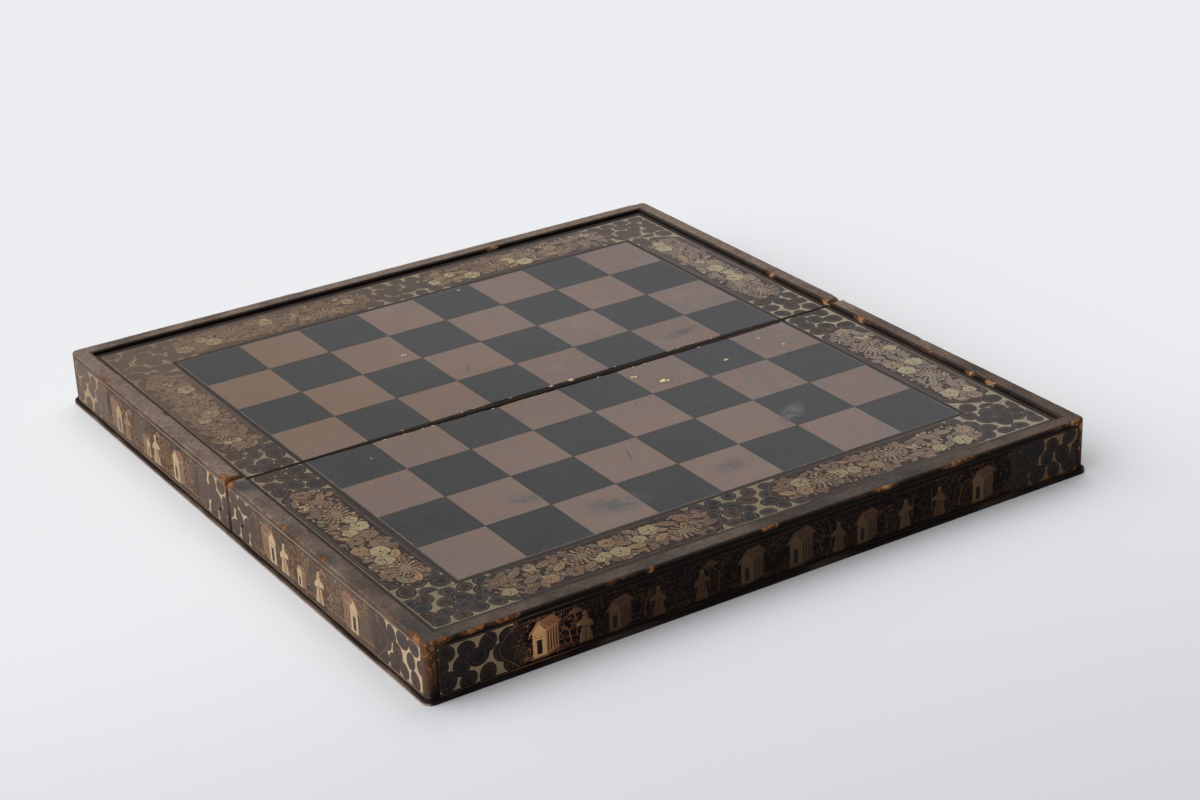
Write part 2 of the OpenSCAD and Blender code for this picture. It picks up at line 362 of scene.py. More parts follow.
def black_lacquer(name, size, rubbing):
    """Black lacquer with clouds of rubbing, size of them to the millimetre, and fine scratches, with a
    painted highlight on the lower edge of the left bead and a painted shade on the front of the near
    bead.
    """
    lacquers = settings()[0]
    material, place = start_material(name)
    x, y, z = over_board(place)
    clouds = place.noise(size, 4.0)
    grain = place.noise(1.1, 4.0)
    rub = (clouds * 0.75 + grain * 0.25).smooth(0.42, 0.68)
    scratches = place.stretch(0.05, 2.4, 2.4).noise(0.9, 2.0).smooth(0.68, 0.74)
    # Where the painted highlight on the lower edge of the left bead lies
    left = left_face(x, 1.5) * z.smooth(MOUTH_Z + 1.7, MOUTH_Z + 0.9)
    colour = layered(
        lacquers.black,
        (rub * rubbing, lacquers.rubbed),
        (scratches * 0.25, darker(lacquers.rubbed, 1.5)),
        # painted highlight on the lower edge of the left bead
        (left * (0.65 + rub * 0.35), darker(lacquers.rubbed, 1.8)),
        # painted shade on the front of the near bead
        (y.smooth(0.5 / Y_OUT - 1, -0.5 / Y_OUT - 1) * 0.6, darker(lacquers.black, 0.4)),
        (z.smooth(FIELD_Z - 2.0, FIELD_Z - 1.0) * 0.28, linear("#574d47")),
    )
    roughness = 0.44 + rub * 0.2 + scratches * 0.1
    relief = clouds * 0.6 + grain * 0.25 - scratches * 0.15
    return finish_material(material, colour, roughness, relief, 0.12, 0.05)


def wall_lacquer(name):
    """Lacquer of the walls: rubbed brown near the edges and bare wood where they are worn. The rim tops
    carry a painted sheen in the rubbed colour, strongest on the far rim, the left wall a painted light,
    and the near wall, the near edge of the rims and the inner faces a painted shade.
    """
    lacquers = settings()[0]
    black, wood = lacquers.black, lacquers.wood
    material, place = start_material(name)
    x, y, z = over_board(place)
    bare = place.node("ShaderNodeAttribute", {"attribute_name": "bare"}, {}, "Fac")
    clouds = place.noise(0.035, 4.0)
    grain = place.noise(1.3, 5.0)
    flakes = place.noise(0.34, 4.0, 0.8)
    streaks = place.stretch(0.08, 0.08, 1.2).noise(1.0, 4.0)
    rub = (clouds * 0.5 + streaks * 0.3 + grain * 0.2).smooth(0.36, 0.64)
    # Parts of the board; top, far, the rims and crest place the painted sheen, left the painted light,
    # and near, front and inside the painted shade
    top = z.smooth(RIM_Z - 1.2, RIM_Z - 0.3)
    near = near_face(y, 1.5) * (1 - top)
    left = left_face(x, 1.5)
    far = y.smooth(-1.1, 0.6)
    right_rim = x.smooth(0.85, 0.95)
    left_rim = x.smooth(-0.8, -0.95) * (y.smooth(-0.85, -0.5) + y.smooth(0.2, 0.35))
    crest = y.smooth(0.9, 0.96) * (x.smooth(-0.6, 0.0) * 0.12 - right_rim * 0.32)
    front = y.smooth(2.6 / Y_OUT - 1, 1.1 / Y_OUT - 1) * top
    inside = x.size().smooth(1 - (WALL_T - 2.6) / X_OUT, 1 - (WALL_T - 1.3) / X_OUT)
    inside = inside * y.size().smooth(1 - (WALL_T - 2.6) / Y_OUT, 1 - (WALL_T - 1.3) / Y_OUT)
    fold = y.smooth(-30 / Y_OUT, -16 / Y_OUT) * y.smooth(-1 / Y_OUT, -14 / Y_OUT)
    fold = fold * x.smooth(-0.9, -0.94)
    corner = x.smooth(-0.85, -0.97) * y.smooth(-0.8, -0.93)
    # Rubbing with a painted sheen on the rim tops and a painted light on the left wall, cool patches,
    # flecks and bare wood
    share = rub * (0.16 + top * (0.24 + far * 0.5) + left * 0.3) + left * 0.06
    share = share + top * (0.16 + far * 0.3 + left_rim * 0.08 + right_rim * 0.04 + crest)
    cool = place.noise(0.022, 3.0).smooth(0.47, 0.6) * (1 - far * 0.7)
    cool = cool.most(fold * 2.0).most(corner * 1.4) * top
    flecks = (place.noise(0.4, 5.0, 0.5) * 0.6 + grain * 0.4).smooth(0.42, 0.6)
    wood_grain = place.stretch(0.12, 0.12, 2.2).noise(1.0, 4.0)
    stain = (place.noise(0.22, 4.0) * 0.7 + grain * 0.3).smooth(0.42, 0.58)
    worn = (bare + (flakes - 0.5) * 1.5 + (grain - 0.5) * 0.4).smooth(0.52, 0.61)
    bare_wood = layered(
        darker(wood, 0.6),
        (wood_grain, darker(wood, 1.3)),
        (x.smooth(-0.3, 0.7) * 0.75, linear("#a58461")),
        (stain * 0.75, darker(wood, 0.25)),
    )
    colour = layered(
        black,
        # the rubbed colour: real rubbing, a painted sheen on the rim tops and a painted light on the
        # left wall
        (share * (1 - near * 0.85), lacquers.rubbed),
        (cool * 0.36, linear("#34393b")),
        (top * flecks * 0.42, darker(black, 1.4)),
        # painted shade on the near wall, the inner faces and the near edge of the rims
        (near * 0.75, darker(black, 0.22)),
        (inside * (x + y).smooth(-0.4, 0.2) * 0.85, darker(black, 0.6)),
        (front * 0.8, darker(black, 0.4)),
        ((bare * 1.5 + flakes * 0.5).smooth(0.45, 0.85) * 0.6, darker(wood, 0.3)),
        (worn, bare_wood),
    )
    roughness = 0.46 + rub * 0.16 + worn * 0.26
    relief = clouds * 0.5 + grain * 0.3 - worn * 0.7 + worn * wood_grain * 0.3
    return finish_material(material, colour, roughness, relief, 0.16, 0.04)


# Marks that age has left on the squares: x, y, length, width, turn, all but the turn in millimetres
SMUDGES = (
    (-62.0, -167.0, 29.0, 16.0, -8.0),
    (26.0, -166.0, 18.0, 10.0, 10.0),
    (100.0, -128.0, 22.0, 10.0, 40.0),
    (118.0, 24.5, 24.0, 8.0, 12.0),
    (-102.0, -128.0, 16.0, 9.0, -20.0),
)
SCRATCHES = (
    (-17.2, -116.4, 9.5, 0.6, 71.0),
    (27.8, -56.0, 3.0, 0.5, 20.0),
    (-150.0, -22.5, 3.0, 1.0, 35.0),
    (64.0, -88.0, 5.5, 0.4, -35.0),
    (-30.0, 62.0, 6.5, 0.4, 65.0),
)
MARK_DEPTH = 50.0


def marks(place, rows, low, high):
    """1 in the middle of each oval mark, fading to 0 outside it."""
    total = None
    for x, y, long, wide, turn in rows:
        inputs = {
            "Vector": place,
            "Location": (x, y, FIELD_Z),
            "Rotation": (0.0, 0.0, radians(turn)),
            "Scale": (long, wide, MARK_DEPTH),
        }
        local = place.node("ShaderNodeMapping", {"vector_type": "TEXTURE"}, inputs)
        reach = local.node("ShaderNodeVectorMath", {"operation": "LENGTH"}, {0: local}, "Value")
        mark = reach.smooth(high, low)
        total = mark if total is None else total.most(mark)
    return total


def square_lacquer(name, colour, streak, smudge, cool, dim, warmth):
    """Lacquer of one colour of square: a tone of its own for each, streaks, specks and smudges.

    It carries a painted shade in front on the left, dim being the share of light it leaves, and a
    painted reflection that cools it towards the right; it is warm on the left of the far half and
    lighter in the middle."""
    material, place = start_material(name)
    x, y, _ = over_board(place, FIELD_X, FIELD_Y)
    square = x.node("ShaderNodeCombineXYZ", {}, {0: (x * 4).floor(), 1: (y * 4).floor()})
    tone = square.node("ShaderNodeTexWhiteNoise", {"noise_dimensions": "2D"}, {0: square}, "Value")
    streaks = place.stretch(0.045, 0.9, 1.0).noise(1.0, 4.0)
    clouds = place.noise(0.045, 5.0)
    grain = place.noise(2.2, 3.0)
    mottle = (grain * 0.4 + place.noise(0.5, 6.0) * 0.6).smooth(0.42, 0.6)
    rusty = (place.noise(0.11, 5.0, 0.4) * 0.6 + place.noise(0.028, 3.0) * 0.4).smooth(0.46, 0.64)
    pits = place.specks(0.13, 0.085) * clouds.smooth(0.42, 0.55)
    hairs = place.stretch(0.7, 0.05, 1.0).noise(1.4, 2.0).smooth(0.7, 0.75)
    smudges = marks(place, SMUDGES, 0.15, 1.0) * place.noise(0.1, 4.0, 0.6).smooth(0.28, 0.58)
    cuts = marks(place, SCRATCHES, 0.6, 1.0)
    # Parts of the field: corner and front mark the painted shade
    corner = (x + y * (0.8 * FIELD_Y / FIELD_X)).smooth(0.85, -1.7)
    front = y.smooth(-0.3, -0.7) * x.smooth(0.8, -0.2)
    warm = x.smooth(0.3, -1.0) * y.smooth(-0.15, 0.2)
    middle = x.size().smooth(0.95, 0.25) * y.size().smooth(0.12, 0.45)
    base = layered(
        darker(colour, 0.86),
        ((tone * 0.55 + streaks * 0.5).smooth(0.1, 1.05), colour),
        (clouds.smooth(0.45, 0.75) * 0.5, streak),
        # painted shade towards the front left
        (corner, darker(colour, dim)),
        # painted reflection that cools the squares towards the right
        (x.smooth(-0.6, 1.0) * 0.4, cool),
        (mottle * 0.45, darker(colour, 0.68)),
        (rusty * 0.6, tinted(colour, 1.2, 0.95, 0.75)),
        (streaks.smooth(0.58, 0.7) * 0.35, darker(colour, 1.28)),
        # more painted shade in front on the left
        (corner * 0.1 + front * 0.4, darker(colour, dim)),
        (warm * warmth, tinted(colour, 1.0, 0.87, 0.66)),
        (middle * 0.14, darker(colour, 1.7)),
        (pits * 0.75, darker(colour, 0.35)),
        (hairs * 0.3, darker(colour, 1.5)),
        (smudges * 0.85, smudge),
        (cuts * 0.8, darker(colour, 0.28)),
    )
    roughness = 0.42 + clouds * 0.2 - hairs * 0.08
    relief = streaks * 0.4 + grain * 0.25 + clouds * 0.4 - pits * 0.8 - cuts
    return finish_material(material, base, roughness, relief, 0.09, 0.3)


def border_ground(name):
    """Brown black lacquer with a dust of gold, which carries the gilt work: browner on the far left,
    with a painted sheen that makes it greyer towards the right and lighter towards the back.
    """
    lacquers, tones = settings()[:2]
    material, place = start_material(name)
    x, y, _ = over_board(place)
    clouds = place.noise(0.06, 4.0)
    dust = place.specks(1.9, 0.2) * clouds.smooth(0.35, 0.7)
    colour = layered(
        lacquers.ground,
        (clouds.smooth(0.4, 0.75) * 0.6, darker(tones.umber, 0.55)),
        (dust * 0.5, tones.umber),
        ((y - x).smooth(0.3, 1.9) * 0.5, linear("#685747")),
        # painted sheen, greyer towards the right and lighter towards the back
        (x.smooth(-0.2, 1.0) * 0.75, linear("#6c6661")),
        (y.smooth(-0.1, 1.0) * 0.6, linear("#655a55")),
    )
    return finish_material(material, colour, 0.5 + clouds * 0.15, clouds * 0.5 + dust * 0.5, 0.08, 0.08)


def gilt(name, colour, sheen, dull=0.0, deep=0.1):
    """Gold powder on lacquer, rubbed thin in places, duller on the far left, and greyed on the right by
    a painted sheen.

    Towards the front and the near left a painted shade darkens it by a share, dull, and the left wall
    takes a painted light. On the near wall it is in painted shade, with a warm painted light just right
    of its left end, and on the dark part of the near wall a painted shade in ochre leaves a deep share
    of light."""
    tones = settings()[1]
    material, place = start_material(name)
    x, y, _ = over_board(place)
    clouds = place.noise(0.05, 3.0)
    patches = place.noise(0.5, 4.0)
    powder = place.noise(3.5, 2.0)
    corner = (y - x).smooth(0.1, 1.9)
    worn = (patches * 0.7 + clouds * 0.3 + corner * 0.16).smooth(0.5, 0.72)
    # Masks of the painted shade in front and of the painted light and shade on the near wall
    front = y.smooth(-0.65, -0.8) * x.smooth(0.8, 0.3)
    near = near_face(y)
    dim = x.smooth(-0.71, -0.54) - x.smooth(0.3, 0.9) * 0.12
    base = layered(
        darker(colour, 0.78),
        (powder.smooth(0.3, 0.75), darker(colour, 1.12)),
        (worn * 0.75, darker(tones.umber, 0.9)),
        (corner * 0.5, darker(tones.umber, 1.9)),
        # painted shade towards the front and the near left
        ((x * 0.6 + y).smooth(0.7, -0.7) * dull + front * 0.2, darker(tones.umber, 0.2)),
        # painted light on the left wall
        (left_face(x) * (1 - y.smooth(0.2, 1.0) * 0.6), tinted(colour, 1.08, 0.96, 1.02)),
        # painted sheen that greys the gold towards the right
        (x.smooth(0.2, 0.9) * 0.32, linear("#8f8a85")),
        # painted light and shade on the near wall: painted shade over it all, a warm painted light right
        # of its left end, and a painted shade in ochre on its dark part
        (near, tinted(colour, 0.63, 0.56, 0.6)),
        (near * x.smooth(-0.81, -0.75), tinted(colour, 1.6, 1.12, 0.85)),
        (near * dim * 0.93, darker(tones.shade_ochre, deep)),
    )
    roughness = 0.44 + patches * 0.22 + worn * 0.12
    return finish_material(material, base, roughness, patches * 0.6 + powder * 0.4, 0.05, 0.25, sheen)


def ink_lacquer(name, colour, gloss=0.06):
    """Dark lacquer of the drawn lines and of the lobes: painted shade on the near wall, painted light on
    the left wall, a painted sheen on the right and at the back, and browner on the far left.
    """
    material, place = start_material(name)
    x, y, _ = over_board(place)
    patches = place.noise(0.35, 4.0)
    near = near_face(y)
    base = layered(
        darker(colour, 0.8),
        (patches.smooth(0.35, 0.7), darker(colour, 1.35)),
        # painted shade on the near wall, painted light on the left wall, then a painted sheen on the
        # right and at the back
        (near * 0.6, linear("#140b07")),
        (left_face(x) * 0.7, linear("#463a34")),
        (x.smooth(-0.1, 1.0) * (1 - near) * 0.35, linear("#524b47")),
        (y.smooth(-0.1, 1.0) * 0.5, linear("#625853")),
        ((y - x).smooth(0.3, 1.9) * 0.5, linear("#685747")),
    )
    return finish_material(material, base, 0.42 + patches * 0.2, patches, 0.05, gloss)


def brass(name, tarnish):
    """Brass with clouds of tarnish and the fine lines of filing."""
    yellow = settings()[0].brass
    material, place = start_material(name)
    clouds = place.noise(0.25, 4.0)
    filing = place.stretch(0.2, 4.0, 4.0).noise(1.0, 2.0)
    dull = (clouds * 0.8 + filing * 0.2).smooth(0.4, 0.7) * tarnish
    base = dull.blend(yellow, darker(yellow, 0.22))
    roughness = 0.3 + dull * 0.35 + filing * 0.08
    return finish_material(material, base, roughness, filing * 0.5 + clouds * 0.5, 0.04, metal=0.95)


def point_lacquer(name, colour, sheen):
    """Lacquer of the backgammon points, scuffed by play."""
    material, place = start_material(name)
    clouds = place.noise(0.08, 4.0)
    scuffs = place.stretch(1.6, 0.12, 1.0).noise(1.0, 3.0).smooth(0.56, 0.72)
    base = (clouds * 0.8).blend(darker(colour, 0.7), colour)
    base = (scuffs * 0.35).blend(base, darker(colour, 0.45))
    roughness = 0.36 + clouds * 0.15 + scuffs * 0.18
    return finish_material(material, base, roughness, clouds * 0.5 - scuffs * 0.5, 0.05, 0.4, sheen)


# Tones of the gilt work, with the values that their materials take. A tone without a colour of
# its own here has it in the settings.
# For golds the values are the sheen, the share of painted shade in front and the share of light that the
# painted ochre shade on the near wall leaves; for inks, the gloss.
GOLDS = {
    "pale": (None, 0.3, 0.2),
    "tan": (None, 0.3),
    "copper": (None, 0.25),
    "olive": (None, 0.25),
    "umber": (None, 0.15, 0.0, 0.03),
    "straw": ("#928567", 0.2, 0.2),
    "cream": ("#d3c19b", 0.0),
}
INKS = {
    "ink": (None,),
    "night": ("#2a292a",),
    "plum": ("#362b28",),
    "ring": ("#5c4e44",),
    "mist": ("#5f5c59",),
    # pitch is the black of the painted shadow along the fold
    "pitch": ("#0f0703", 0.0),
}
TONES = (*GOLDS, *INKS)


def gilding_materials():
    """The materials of the gilt work, one for each tone, made once."""
    tones = settings()[1]
    if "gilt_pale" not in bpy.data.materials:
        for make, table in ((gilt, GOLDS), (ink_lacquer, INKS)):
            for tone, (code, *values) in table.items():
                make("gilt_" + tone, linear(code) if code else getattr(tones, tone), *values)
    return [bpy.data.materials["gilt_" + tone] for tone in TONES]


# Pieces


def add_piece(half, name, mesh, materials, replaces=()):
    """Turns a bmesh into a piece that rides on a half and stands for CAD nodes."""
    name = f"{half}_{name}"
    data = bpy.data.meshes.new(name)
    mesh.to_mesh(data)
    mesh.free()
    for material in materials:
        data.materials.append(material)
    piece = bpy.data.objects.new(name, data)
    bpy.context.collection.objects.link(piece)
    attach(piece, half + "_half")
    if replaces:
        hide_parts(*replaces)
    return piece


def dress(material, *nodes):
    """Gives CAD nodes their material."""
    for node in nodes:
        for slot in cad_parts[node].material_slots:
            slot.material = material


class Face:
    """A flat place on the board: u runs along it, v across it and w out of it."""

    def __init__(self, origin, along, across):
        self.origin = Vector(origin)
        self.along = Vector(along)
        self.across = Vector(across)
        self.outward = self.along.cross(self.across)

    def at(self, u, v, w):
        """A place on the face in metres."""
        return (self.origin + u * self.along + v * self.across + w * self.outward) * MM


def wall_faces(half):
    """The outside faces of a half's three walls: face, length and whether each end is mitred."""
    s = HALVES[half]
    first, last = ("left", "right")[::s]
    reach = Y_OUT - FOLD_Y
    up = (0, 0, 1)
    return {
        "outer": (Face((-X_OUT * s, -Y_OUT * s, MOUTH_Z), (s, 0, 0), up), 2 * X_OUT, (1, 1)),
        first: (Face((-X_OUT * s, -FOLD_Y * s, MOUTH_Z), (0, -s, 0), up), reach, (0, 1)),
        last: (Face((X_OUT * s, -Y_OUT * s, MOUTH_Z), (0, s, 0), up), reach, (1, 0)),
    }


def border_faces(half):
    """The gilt bands of a half: face and length, each with v from its outer edge inwards."""
    s = HALVES[half]
    reach = BAND_Y - BAND_FOLD
    return {
        "long": (Face((-BAND_X * s, -BAND_Y * s, FIELD_Z), (s, 0, 0), (0, s, 0)), 2 * BAND_X),
        "first": (Face((-BAND_X * s, -BAND_FOLD * s, FIELD_Z), (0, -s, 0), (s, 0, 0)), reach),
        "last": (Face((BAND_X * s, -BAND_Y * s, FIELD_Z), (0, s, 0), (-s, 0, 0)), reach),
    }


# Walls

# Chips in the edges: place along the wall, half length, depth, and whether the inner edge has it
CHIPS = {
    "near_outer_wall": (
        (7.0, 9.0, 1.4, 0), (29.0, 8.0, 0.4, 0), (50.0, 10.0, 0.4, 0), (120.0, 3.0, 0.7, 0),
        (147.0, 3.0, 0.8, 0), (231.0, 7.0, 0.3, 0), (318.0, 8.0, 0.35, 0), (372.0, 12.0, 0.4, 0),
        (471.0, 6.0, 1.3, 0),
    ),
    "near_left_wall": (
        (4.0, 5.0, 2.2, 0), (78.0, 4.0, 0.9, 0), (96.0, 3.0, 1.0, 1), (128.0, 3.5, 1.1, 0),
        (240.0, 10.0, 1.1, 0),
    ),
    "near_right_wall": (
        (71.0, 6.0, 1.6, 1), (92.0, 5.0, 1.4, 1), (160.0, 4.0, 1.2, 0), (214.0, 7.0, 2.0, 1),
        (243.0, 5.0, 0.8, 0),
    ),
    "far_right_wall": ((2.5, 5.0, 2.8, 1), (3.0, 5.0, 0.9, 0), (70.0, 5.0, 1.3, 1)),
    "far_left_wall": ((60.0, 5.0, 1.1, 0), (132.0, 4.0, 1.2, 1), (247.0, 5.0, 2.2, 0)),
    "far_outer_wall": ((6.0, 6.0, 1.4, 0), (140.0, 6.0, 1.2, 1), (300.0, 5.0, 1.2, 0)),
}
# Radii of the edges, lengths over which wear fades and steps of a section, in millimetres
CORNER_R = 5.0
CORNER_WORN = 6.0
FOLD_END_R = 4.0
FOLD_SIDE_R = 1.5
ARC_STEPS = 4
FADE_DOWN = 1.3
FADE_IN = 1.2
FACE_HEIGHTS = (4.0, 14.0, 24.0, 31.0)
END_STEPS = (0.0, 0.35, 0.9, 1.5, 2.2, 3.0, 4.0, 5.2, 7.0)


def wear_at(wall, u, inner, wear):
    """How far an edge has worn at a place along a wall: added radius and share of bare wood."""
    seed = len(wall) * 17.0 + (40.0 if inner else 0.0)
    slow = noise.noise(Vector((u * 0.018, seed, 0.0)))
    quick = noise.noise(Vector((u * 0.16, seed, 9.0)))
    share = max(0.0, min(1.0, wear.coverage + slow * 0.5 + quick * 0.28 - (0.14 if inner else 0.0)))
    if wall == "near_outer_wall" and not inner:
        share *= 0.5 + 0.35 * exp(-u / 45) + 0.5 * min(1.0, max(0.0, (u - 230) / 180))
    cut = wear.rub / MM * share
    for middle, reach, depth, side in CHIPS.get(wall, ()):
        near = abs(u - middle) / reach
        if side == inner and near < 1:
            rough = 1 + 0.5 * noise.noise(Vector((u * 0.7, seed, 3.0)))
            cut += depth * (1 - near**2) * rough
            share = max(share, 0.72 - 0.3 * near)
    return cut, share


def wall_section(wall, u, wear):
    """The rounded section of a wall: depth from its face, height and bare share of each corner."""
    corners = [(0.5, 0.0, 0.25), (0.0, 0.5, 0.3)]
    corners += [(0.0, height, 0.0) for height in FACE_HEIGHTS]
    for inner in (0, 1):
        cut, share = wear_at(wall, u, inner, wear)
        radius = wear.arris / MM + cut
        edge = [(0.0, TRAY_H - radius - FADE_DOWN, share * 0.2)]
        for step in range(ARC_STEPS + 1):
            turn = pi / 2 * step / ARC_STEPS
            edge.append((radius * (1 - cos(turn)), TRAY_H - radius * (1 - sin(turn)), share))
        edge.append((radius + FADE_IN, TRAY_H, share * 0.15))
        if inner:
            corners += [(WALL_T - depth, height, bare) for depth, height, bare in reversed(edge)]
        else:
            corners += edge + [(WALL_T * 0.5, TRAY_H, 0.0)]
    corners += [(WALL_T, 29.0, 0.0), (WALL_T, 12.0, 0.0), (WALL_T, 0.5, 0.2)]
    return corners + [(WALL_T - 0.5, 0.0, 0.2), (WALL_T * 0.5, 0.0, 0.1)]


def stations(reach, step):
    """Places along a wall, close together at its ends and step apart between them."""
    edge = END_STEPS[-1]
    count = round((reach - 2 * edge) / step)
    middle = [edge + (reach - 2 * edge) * k / count for k in range(1, count)]
    return [*END_STEPS, *middle, *(reach - place for place in reversed(END_STEPS))]


def round_corner(u, depth, reach, mitred):
    """Pulls a place near a mitred end onto the round vertical edge of the corner."""
    for end, is_mitred in ((0.0, mitred[0]), (reach, mitred[1])):
        inward = 1 if end == 0.0 else -1
        along = (u - end) * inward - CORNER_R
        across = depth - CORNER_R
        if is_mitred and along < 0 and across < 0:
            scale = (CORNER_R - min(depth, (u - end) * inward)) / hypot(along, across)
            return end + inward * (CORNER_R + along * scale), CORNER_R + across * scale
    return u, depth


def build_wall(name, face, reach, mitred, wear):
    """One wall: its section drawn along it, worn at the edges and rounded at its ends."""
    places = stations(reach, wear.step / MM)
    columns = len(wall_section(name, 0.0, wear))
    mesh = bmesh.new()
    bare = mesh.verts.layers.float.new("bare")
    grid = bmesh.ops.create_grid(mesh, x_segments=columns, y_segments=len(places) - 1)["verts"]
    knee = TRAY_H - 2 * FOLD_END_R
    for row, place in enumerate(places):
        section = wall_section(name, place, wear)
        for column in range(columns + 1):
            depth, height, share = section[column % columns]
            start, finish = depth * mitred[0], reach - depth * mitred[1]
            u = start + (finish - start) * place / reach
            for end_place, is_mitred in ((place, mitred[0]), (reach - place, mitred[1])):
                if not is_mitred and end_place < FOLD_END_R:
                    low = FOLD_END_R - sqrt(FOLD_END_R**2 - (FOLD_END_R - end_place) ** 2)
                    height -= low * max(0.0, height - knee) / (TRAY_H - knee)
                    share = max(share, 0.75 * (height > knee) * (1 - end_place / FOLD_END_R))
                if not is_mitred and end_place < FOLD_SIDE_R:
                    side = FOLD_SIDE_R - sqrt(FOLD_SIDE_R**2 - (FOLD_SIDE_R - end_place) ** 2)
                    depth = side + depth * (WALL_T - 2 * side) / WALL_T
            if (mitred[0] and u < CORNER_WORN) or (mitred[1] and u > reach - CORNER_WORN):
                worn = (0.2 + 0.44 * height / TRAY_H) * min(1.0, height / 10)
                share = max(share, worn * (depth < 0.5))
            u, depth = round_corner(u, depth, reach, mitred)
            swell = 0.12 * noise.noise(Vector((u * 0.02, height * 0.05, len(name))))
            inset = max(0.0, swell) if depth < 0.2 or depth > WALL_T - 0.2 else 0.0
            vert = grid[row * (columns + 1) + column]
            vert.co = face.at(u, height, -depth - inset * (1 if depth < 1 else -1))
            vert[bare] = share
    bmesh.ops.remove_doubles(mesh, verts=mesh.verts, dist=0.00001)
    bmesh.ops.holes_fill(mesh, edges=mesh.edges)
    bmesh.ops.recalc_face_normals(mesh, faces=mesh.faces)
    return mesh


# Gilt work: heights above the lacquer and sizes, in millimetres
RISE = 0.012
MOTIF_RISE = 0.04
FINE = 0.002
LOBE_LEVEL = 0.03
RESERVE_LEVEL = 0.19
GRASS_LEVEL = 0.22
MOTIF_LEVEL = 0.27
SUNK = -0.05
SLOPE = 0.14
SHEET_T = 0.3
OUTLINE_W = 3.5
MARGIN_W = 1.4
LOBE_STRAY = 1.7
LOBE_UNDER = 9
LONG_BAND = BAND_Y - FIELD_Y - OUTLINE_W

# Distance between lobes as shares of their radius, the share of it between rows, the share of its
# height that a clipped shape stays inside its field, and the corners that one mesh takes
LOBE_PITCH = 1.8
WALL_PITCH = 1.78
LOBE_ROW = 0.87
CLIP_INSET = 0.3
STORE_AT = 1500


def around(middle, reach, turn):
    """The place at a distance and in a direction from another."""
    return middle[0] + reach * cos(turn), middle[1] + reach * sin(turn)


class Gilding:
    """Collects the raised gilt shapes of one face of the board, each a little above the last."""

    def __init__(self, face, seed):
        self.face = face
        self.mesh = bmesh.new()
        self.sheets = []
        self.stored = []
        self.random = random.Random(seed)
        self.motifs = 0
        self.shapes = 0
        self.limits = None
        self.start(LOBE_LEVEL)

    def start(self, level):
        """Sets the height that the next motifs start from."""
        self.base = self.level = level

    def next_motif(self):
        """Starts a motif at a height that its neighbours don't have."""
        self.motifs += 1
        self.level = self.base + self.motifs % 3 * MOTIF_RISE

    def height(self):
        """The top of the next shape, never quite level with the last few."""
        self.shapes += 1
        if len(self.mesh.verts) > STORE_AT:
            self.store()
        return self.level + self.shapes % 5 * FINE

    def store(self):
        """Puts the shapes made so far aside, because operators slow down in a large mesh."""
        self.mesh.normal_update()
        if self.sheets:
            bmesh.ops.solidify(self.mesh, geom=self.sheets, thickness=SHEET_T * MM)
        data = bpy.data.meshes.new("stored")
        self.mesh.to_mesh(data)
        self.mesh.free()
        self.stored.append(data)
        self.mesh = bmesh.new()
        self.sheets = []

    def lay(self, made, raised, middle, turn, tone, outline, clipped):
        """Puts the corners of a new shape in place, the lower ones sunk, and gives it its tone."""
        cosine, sine = cos(turn), sin(turn)
        for vert in made["verts"]:
            top = vert.co.z > 0
            x, y = outline(vert.co, top)
            u, v = middle[0] + x * cosine - y * sine, middle[1] + x * sine + y * cosine
            if clipped and self.limits:
                start, end, low, high = self.limits
                inset = raised * CLIP_INSET
                u = max(start + inset, min(end - inset, u))
                v = max(low + inset, min(high - inset, v))
            vert.co = self.face.at(u, v, raised if top else SUNK)
        for shape in {shape for vert in made["verts"] for shape in vert.link_faces}:
            shape.material_index = TONES.index(tone)

    def disc(self, u, v, long, wide, turn, tone, sides=8, pinch=0.0):
        """A raised oval, or a leaf where pinch draws in its ends, turned by an angle in radians."""
        raised = self.height()
        made = bmesh.ops.create_cone(
            self.mesh, cap_ends=True, segments=sides, radius1=1.0, radius2=0.5, depth=2.0
        )

        def outline(place, top):
            x, y = place.x * (1 + top), place.y * (1 + top)
            y *= abs(y) ** pinch if pinch else 1
            x *= max(long - SLOPE * top, 0.3 * long)
            return x, y * max(wide - SLOPE * top, 0.3 * wide)

        self.lay(made, raised, (u, v), turn, tone, outline, True)
        self.level += RISE

    def edged(self, u, v, long, wide, turn, tone, edge, sides=8, pinch=0.0):
        """An oval or a leaf with a dark edge round it."""
        self.disc(u, v, long + edge, wide + edge, turn, "ink", sides, pinch)
        self.disc(u, v, long, wide, turn, tone, sides, pinch)

    def stroke(self, u, v, long, wide, turn, tone):
        """A short straight line with its middle at u and v."""
        raised = self.height()
        made = bmesh.ops.create_cube(self.mesh, size=1.0)

        def outline(place, top):
            x = place.x * max(long - 2 * SLOPE * top, 0.5 * long)
            return x, place.y * max(wide - 2 * SLOPE * top, 0.5 * wide)

        self.lay(made, raised, (u, v), turn, tone, outline, False)

    def line(self, start, end, wide, tone):
        """A straight line from one place to another."""
        run, rise = end[0] - start[0], end[1] - start[1]
        middle = (start[0] + end[0]) / 2, (start[1] + end[1]) / 2
        self.stroke(*middle, hypot(run, rise) + wide * 0.5, wide, atan2(rise, run), tone)

    def path(self, places, wide, tone):
        """A bent line through a few places."""
        for start, end in zip(places, places[1:]):
            self.line(start, end, wide, tone)
        self.level += RISE

    def sheet(self, places, tone):
        """A flat shape with its corners at the given places, anticlockwise."""
        raised = self.height()
        shape = self.mesh.faces.new([self.mesh.verts.new(self.face.at(u, v, raised)) for u, v in places])
        shape.material_index = TONES.index(tone)
        self.sheets.append(shape)
        self.level += RISE

    def finish(self):
        """Hands over all the shapes as one mesh."""
        self.store()
        for data in self.stored:
            self.mesh.from_mesh(data)
            bpy.data.meshes.remove(data)
        return self.mesh


# Motifs of the gilt borders


